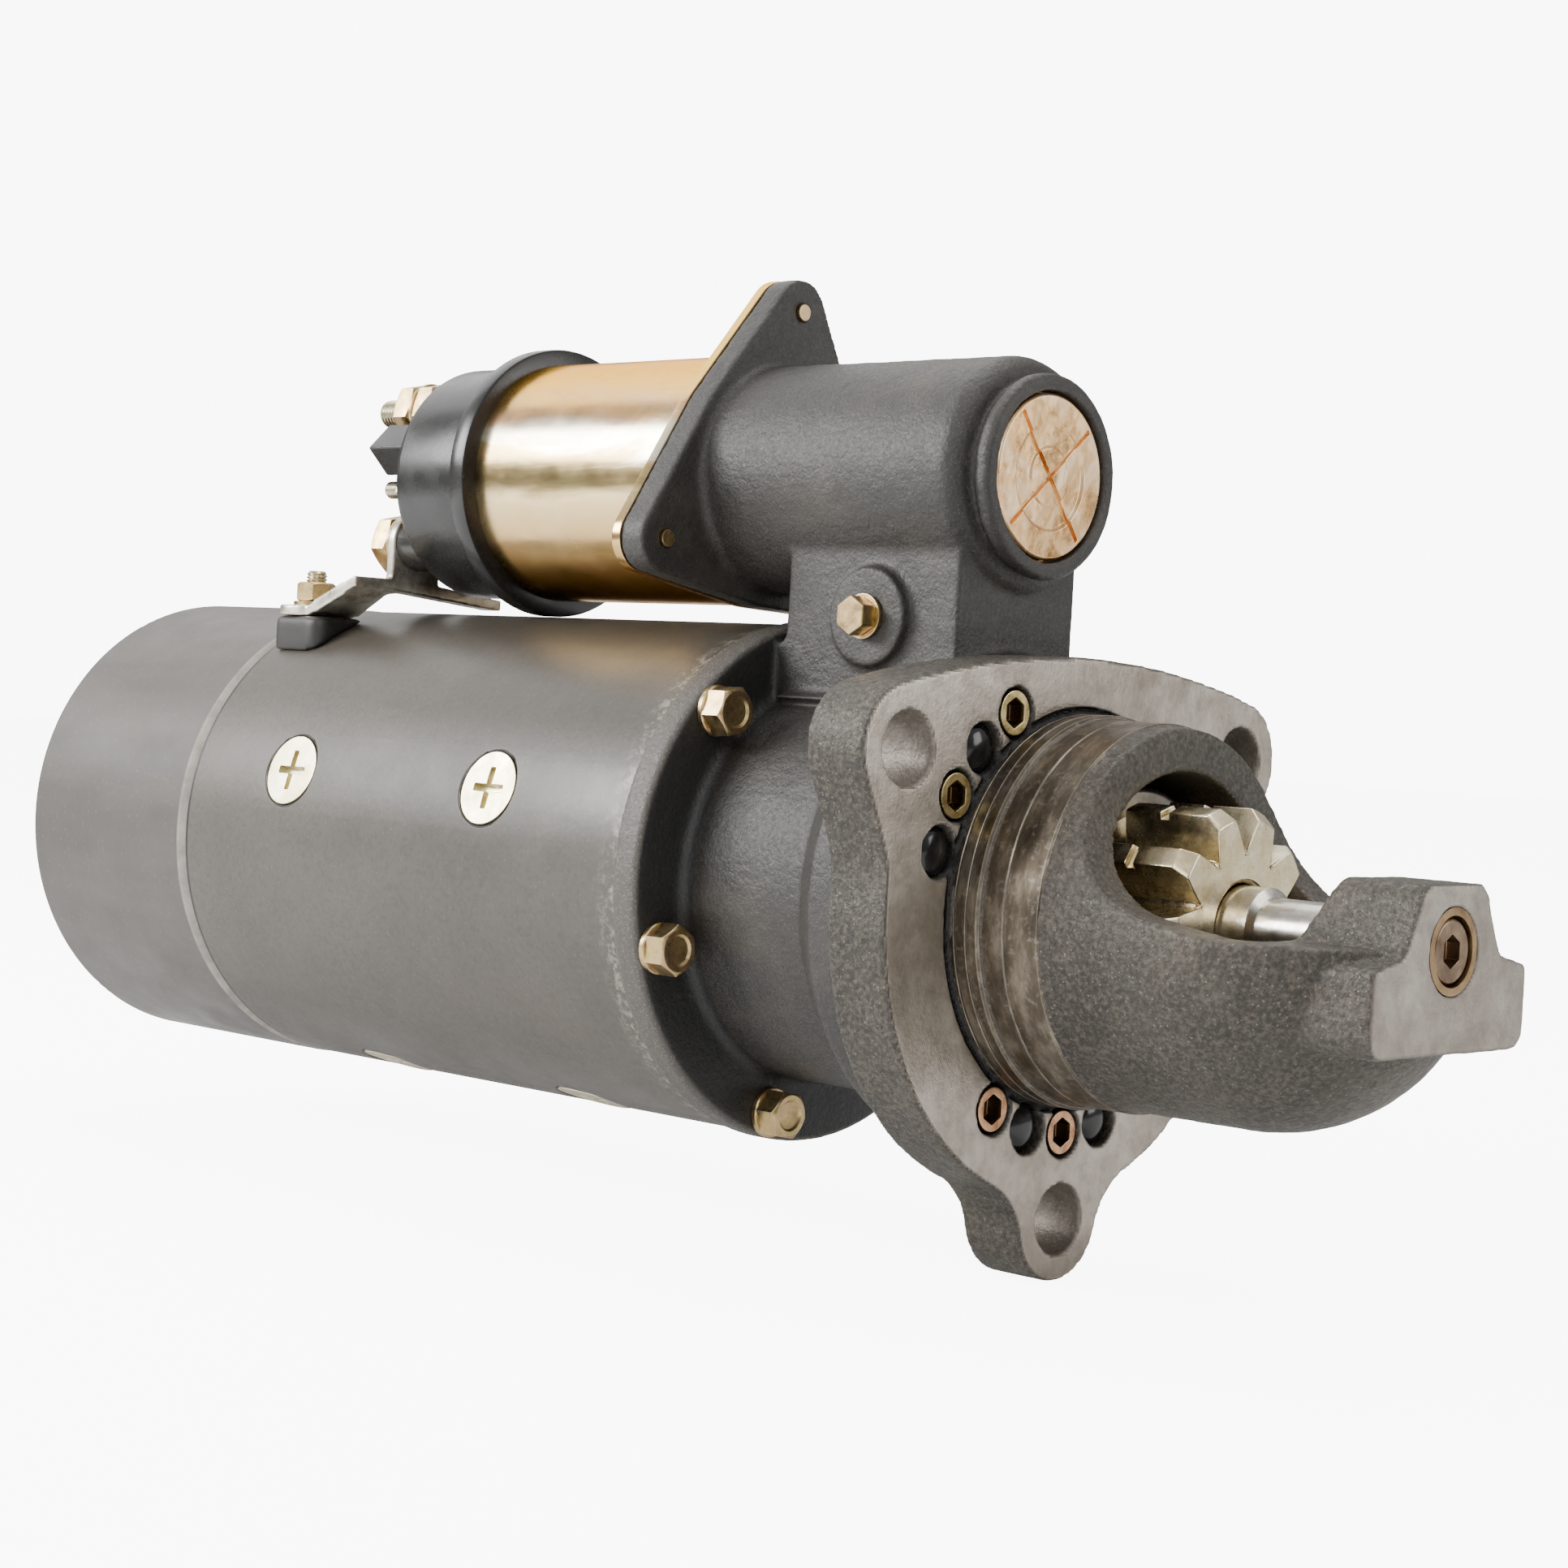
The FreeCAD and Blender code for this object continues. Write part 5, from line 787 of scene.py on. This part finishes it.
def threaded(work, centre, axis, length, radius, pitch, count=28):
    """A stud with a real helical thread and a pointed end."""
    origin, along, side, other = frame_at(centre, axis)
    rings = []
    steps = int(length / pitch * 8)
    depth = pitch * 0.55
    for k in range(steps + 1):
        distance = length * k / steps
        point = max(0.0, distance - (length - pitch)) * 0.8
        ring = []
        for i in range(count):
            turn = 2 * math.pi * i / count
            phase = (distance / pitch - i / count) % 1.0
            tooth = 1.0 - abs(2.0 * phase - 1.0)
            r = min(radius - depth * min(1.0, max(0.0, 1.25 * tooth - 0.15)), radius - point)
            ring.append(origin + along * distance + (side * math.cos(turn) + other * math.sin(turn)) * r)
        rings.append(ring)
    add_rings(work, rings)


def meshed(name, work, angle=30):
    """The bmesh as a piece with its faces outwards."""
    bmesh.ops.recalc_face_normals(work, faces=work.faces)
    mesh = bpy.data.meshes.new(name)
    work.to_mesh(mesh)
    work.free()
    piece = new_piece(name, mesh)
    smooth_shaded(piece, angle)
    return piece


def polar_points(circle, first, count, x):
    """Evenly spaced points on a circle round the shaft's axis, from a first angle in degrees."""
    for i in range(count):
        angle = math.radians(first) + 2 * math.pi * i / count
        yield Vector((x, circle * math.cos(angle), circle * math.sin(angle)))


# ------------------------------------------------------------------ bolts and plugs round the flanges

FRAME_BOLT_CIRCLE = 0.0595
FRAME_BOLT_HEAD = 0.0060        # height of the hexagon
FRAME_BOLT_COLLAR = 0.0016      # thickness of the flange under it
FRAME_BOLT_SHANK = 0.024
PLUG_CIRCLE = 0.0525
PLUG_RADIUS = 0.0059
PLUG_DOME = 0.0027
DOME_STEPS = 12


def frame_bolt_heads():
    """Six flanged hexagon heads with dished tops, each turned a little further than the last."""
    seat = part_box("frame_bolts")[1].x - FRAME_BOLT_HEAD - FRAME_BOLT_COLLAR
    collar = [(0.0, 0.0061), (0.0002, 0.0063), (0.0013, 0.0063), (FRAME_BOLT_COLLAR, 0.0060)]
    shank = [(0.0, 0.0035), (0.0005, 0.004), (FRAME_BOLT_SHANK, 0.004)]
    work = bmesh.new()
    for i, centre in enumerate(polar_points(FRAME_BOLT_CIRCLE, 15, 6, seat)):
        lathe(work, centre, ALONG_X, collar)
        hexagon_head(work, centre + Vector((FRAME_BOLT_COLLAR, 0, 0)), ALONG_X, 0.011, FRAME_BOLT_HEAD,
                     turn=0.35 * i, dish=0.0007)
        lathe(work, centre - Vector((FRAME_BOLT_SHANK, 0, 0)), ALONG_X, shank, 24)
    dress(meshed("frame_bolt_set", work), "frame_bolts")


def plug_domes():
    """Black domed plugs in the nose flange, between the screws."""
    low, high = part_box("hole_plugs")
    depth = high.x - low.x
    dome = [(0.0, 0.0057), (0.0004, PLUG_RADIUS), (depth - PLUG_DOME, PLUG_RADIUS)]
    for k in range(1, DOME_STEPS):
        tilt = math.radians(90 * k / DOME_STEPS)
        dome.append((depth - PLUG_DOME * (1 - math.sin(tilt)), 0.0056 * math.cos(tilt) + 0.0003))
    work = bmesh.new()
    for first in (15, 45):
        for centre in polar_points(PLUG_CIRCLE, first, 3, low.x):
            lathe(work, centre, ALONG_X, dome, 32)
    dress(meshed("hole_plug_domes", work, angle=60), "hole_plugs")


# ------------------------------------------------------------------ solenoid and pilot

COVER_RADIUS = 0.0292       # flat rear face of the moulded cap, inside its rounded edge
COVER_ROUND = 0.003
COVER_FACETS = 8
SPRING_WIRE = 0.0012
SPRING_TURNS = 6
SPRING_STEPS = 48           # rings to a turn
WIRE_POINTS = 12
BAND_PROUD = 0.0001         # the turned bands stand this far out of the casting


def solenoid_cover():
    """The moulded cap: a rounded rear, a stepped rim and a boss under the strap."""
    shell = [(0.0, 0.0289), (0.0, COVER_RADIUS)]
    for k in range(1, COVER_FACETS + 1):
        tilt = math.radians(90 * k / COVER_FACETS)
        shell.append((COVER_ROUND * (1 - math.cos(tilt)), COVER_RADIUS + COVER_ROUND * math.sin(tilt)))
    shell += [(0.0286, 0.0322), (0.0289, 0.0324), (0.0290, 0.0329), (0.0290, 0.0357), (0.0292, 0.0362),
              (0.0297, 0.0367), (0.0300, 0.0368), (0.0341, 0.0368), (0.0347, 0.0366), (0.0350, 0.0360),
              (0.0350, 0.0300), (0.0040, 0.0300)]
    boss = [(-0.0030, 0.0076), (-0.0030, 0.0078), (0.0061, 0.0078), (0.0065, 0.0076), (0.0066, 0.0072)]
    low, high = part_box("motor_terminal")
    middle = (low + high) / 2
    work = bmesh.new()
    lathe(work, (SOLENOID_REAR, 0, SOLENOID_Z), ALONG_X, shell, 120)
    lathe(work, (SOLENOID_REAR, middle.y, middle.z), BACK_X, boss, 48)
    dress(meshed("solenoid_cover", work), "solenoid_cap")


def return_spring():
    """The plunger's coil, which goes with the plunger."""
    low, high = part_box("plunger_spring")
    coil = (high.z - low.z) / 2 - SPRING_WIRE
    length = high.x - low.x
    rise = length - 2 * SPRING_WIRE
    count = SPRING_TURNS * SPRING_STEPS
    rings = []
    for k in range(count + 1):
        turn = 2 * math.pi * k / SPRING_STEPS
        out = Vector((0, math.cos(turn), math.sin(turn)))
        centre = Vector((low.x + SPRING_WIRE + rise * k / count, 0, SOLENOID_Z)) + out * coil
        rings.append([centre + (out * math.cos(a) + Vector(ALONG_X) * math.sin(a)) * SPRING_WIRE
                      for a in (2 * math.pi * i / WIRE_POINTS for i in range(WIRE_POINTS))])
    work = bmesh.new()
    add_rings(work, rings)
    piece = meshed("return_spring", work)
    dress(piece, "plunger_spring")
    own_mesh(piece)


def pilot_bands():
    """The crisp turned surfaces of the pilot and the collar ahead of it: a closed ring, open inside."""
    profile = [(-0.0010, 0.0436), (-0.0010, 0.04600), (0.0010, 0.04604), (0.0014, 0.04575),
               (0.0018, 0.04604), (0.0043, 0.04604), (0.0046, 0.04578), (0.0049, 0.04604),
               (0.0074, 0.04604), (0.0080, 0.04540), (0.0080, 0.04500), (0.0140, 0.04497),
               (0.0143, 0.04475), (0.0146, 0.04497), (0.0238, 0.04490), (0.0243, 0.04445),
               (0.0243, 0.0436), (-0.0010, 0.0436)]
    work = bmesh.new()
    lathe(work, (0, 0, 0), ALONG_X, [(x, radius + BAND_PROUD) for x, radius in profile], 180, capped=False)
    bmesh.ops.remove_doubles(work, verts=work.verts, dist=1e-6)
    piece = meshed("pilot_bands", work, angle=20)
    piece.data.materials.append(MATERIALS["turned_iron"])
    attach(piece, "housing")


# ------------------------------------------------------------------ terminals

STUDS = (                   # node, radius and pitch of the threads behind the solenoid's cap
    ("battery_terminal", 0.004, 0.00125),
    ("motor_terminal", 0.004, 0.00125),
    ("switch_terminal", 0.0025, 0.0008),
)
NUTS = (                    # stud, and how far behind the cap each of its nuts sits
    ("battery_terminal", 0.0),
    ("battery_terminal", 0.00825),
    ("motor_terminal", 0.0096),
)
THREAD_START = 0.0035       # depth inside the cap where a stud's thread starts
WASHER = 0.0012
NUT_TURN = 0.3


def stud_seat(stud):
    """Where a stud leaves the solenoid cap's rear face."""
    low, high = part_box(stud)
    middle = (low + high) / 2
    return Vector((SOLENOID_REAR, middle.y, middle.z))


def rear_studs():
    """Threaded studs with round heads inside the solenoid's cap."""
    for stud, radius, pitch in STUDS:
        low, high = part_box(stud)
        seat = stud_seat(stud)
        start = SOLENOID_REAR + THREAD_START
        head = high.x - (SOLENOID_REAR + 0.004)
        work = bmesh.new()
        threaded(work, (start, seat.y, seat.z), BACK_X, start - low.x, radius - 0.00002, pitch)
        lathe(work, (SOLENOID_REAR + 0.0041, seat.y, seat.z), ALONG_X,
              [(0.0, radius + 0.0007), (0.0003, radius + 0.001), (head - 0.0004, radius + 0.001),
               (head - 0.0002, radius + 0.0008)])
        dress(meshed(stud + "_thread", work), stud, "terminal_steel")


def washer_nut(work, seat, across, height):
    """A nut with its washer face, seated on a plane at the rear of the solenoid."""
    lathe(work, seat, BACK_X,
          [(0.0, across / 2 + 0.0004), (0.0002, across / 2 + 0.0006), (WASHER - 0.0002, across / 2 + 0.0006),
           (WASHER, across / 2 + 0.0003)])
    hexagon_head(work, seat - Vector((WASHER, 0, 0)), BACK_X, across, height, NUT_TURN, foot=True)


def rear_nuts():
    """Three like nuts on the large studs, and a small one on the switch stud."""
    work = bmesh.new()
    for stud, behind in NUTS:
        washer_nut(work, stud_seat(stud) - Vector((behind, 0, 0)), 0.015, 0.007)
    dress(meshed("terminal_nut_set", work), "terminal_nuts")
    work = bmesh.new()
    washer_nut(work, stud_seat("switch_terminal"), 0.007, 0.004)
    dress(meshed("switch_nut_hex", work), "switch_nut")


def frame_stud():
    """The threaded stud that stands on the frame, with its washer-faced nut."""
    low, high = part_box("frame_terminal")
    nut_low, nut_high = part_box("frame_terminal_nut")
    centre = (nut_low + nut_high) / 2
    work = bmesh.new()
    threaded(work, (centre.x, centre.y, low.z), UP, high.z - low.z, 0.00298, 0.001)
    dress(meshed("frame_terminal_thread", work), "frame_terminal")
    work = bmesh.new()
    lathe(work, (centre.x, centre.y, nut_low.z), UP,
          [(0.0, 0.006), (0.0002, 0.0062), (0.001, 0.0062), (WASHER, 0.006)])
    hexagon_head(work, (centre.x, centre.y, nut_low.z + WASHER), UP, 0.010,
                 nut_high.z - nut_low.z - WASHER, turn=0.2, foot=True)
    dress(meshed("frame_terminal_hex", work), "frame_terminal_nut")


frame_bolt_heads()
plug_domes()
solenoid_cover()
return_spring()
pilot_bands()
rear_studs()
rear_nuts()
frame_stud()


# ------------------------------------------------------------------ the rest of the nodes

for node, thing in frame["nodes"].items():
    thing.data.materials.clear()
    thing.data.materials.append(MATERIALS[FINISH_OF[node]])


# ------------------------------------------------------------------ floor and light

FLOOR_SIZE = 6.0        # half the floor's width
FLOOR_GAP = 0.0005      # between the floor and the object's lowest point
FLOOR_GLOW = 8.0
BACKDROP = 9.0
WORLD_LOW = 0.32
WORLD_HIGH = 0.75
LIGHTS = (              # name, place, target, size, power
    ("key", (-0.95, -1.05, 0.62), (-0.12, 0, 0.03), (0.9, 0.5), 34),
    ("front", (0.9, -1.2, 0.9), (0.0, 0, 0.03), (0.8, 0.8), 9),
    ("top", (-0.1, 0.2, 1.5), (-0.1, 0, 0.05), (1.2, 0.8), 12),
    ("far", (1.3, 0.9, 0.5), (0.0, 0, 0.05), (0.7, 0.7), 7),
    ("rear", (-1.05, 0.30, 1.0), (-0.12, 0, 0.10), (1.2, 1.0), 7),
)


def pale_floor():
    """A plain pale floor just under the foot, near white to the eye."""
    g = Graph("pale_floor")
    tone = g.ramp(g.noise(3, 3, 0.5), [(0.3, (0.86, 0.86, 0.86)), (0.7, (0.88, 0.88, 0.88))])
    g.finish(tone, 0.0, 0.8)
    seen = g.node("ShaderNodeLightPath").outputs["Is Camera Ray"]
    g.shader.inputs["Emission Color"].default_value = (1, 1, 1, 1)
    g.link(g.times(seen, FLOOR_GLOW), g.shader.inputs["Emission Strength"])
    mesh = bpy.data.meshes.new("floor")
    level = cad_box[0][2] - FLOOR_GAP
    corners = [(x * FLOOR_SIZE, y * FLOOR_SIZE, level) for x, y in ((-1, -1), (1, -1), (1, 1), (-1, 1))]
    mesh.from_pydata(corners, [], [(0, 1, 2, 3)])
    floor = new_piece("floor", mesh)
    floor.data.materials.append(g.material)


def soft_light(name, place, target, size, power):
    data = bpy.data.lights.new(name, "AREA")
    data.shape = "RECTANGLE"
    data.size, data.size_y = size
    data.energy = power
    light = bpy.data.objects.new(name, data)
    light.location = place
    light.rotation_euler = (Vector(target) - Vector(place)).to_track_quat("-Z", "Y").to_euler()
    bpy.context.scene.collection.objects.link(light)


def studio():
    """A white backdrop that lights the object only softly, darker at the horizon than overhead."""
    world = bpy.data.worlds.new("studio")
    world.use_nodes = True
    tree = world.node_tree
    background = tree.nodes["Background"]
    background.inputs["Color"].default_value = (1.0, 1.0, 1.0, 1)
    direction = tree.nodes.new("ShaderNodeTexCoord").outputs["Generated"]
    parts = tree.nodes.new("ShaderNodeSeparateXYZ")
    tree.links.new(direction, parts.inputs[0])
    height = tree.nodes.new("ShaderNodeMapRange")
    tree.links.new(parts.outputs[2], height.inputs["Value"])
    for key, value in (("From Min", 0.0), ("From Max", 0.8), ("To Min", WORLD_LOW), ("To Max", WORLD_HIGH)):
        height.inputs[key].default_value = value
    seen = tree.nodes.new("ShaderNodeLightPath").outputs["Is Camera Ray"]
    strength = tree.nodes.new("ShaderNodeMix")
    tree.links.new(seen, strength.inputs["Factor"])
    tree.links.new(height.outputs[0], strength.inputs["A"])
    strength.inputs["B"].default_value = BACKDROP
    tree.links.new(strength.outputs["Result"], background.inputs["Strength"])
    bpy.context.scene.world = world
    for light in LIGHTS:
        soft_light(*light)


pale_floor()
studio()
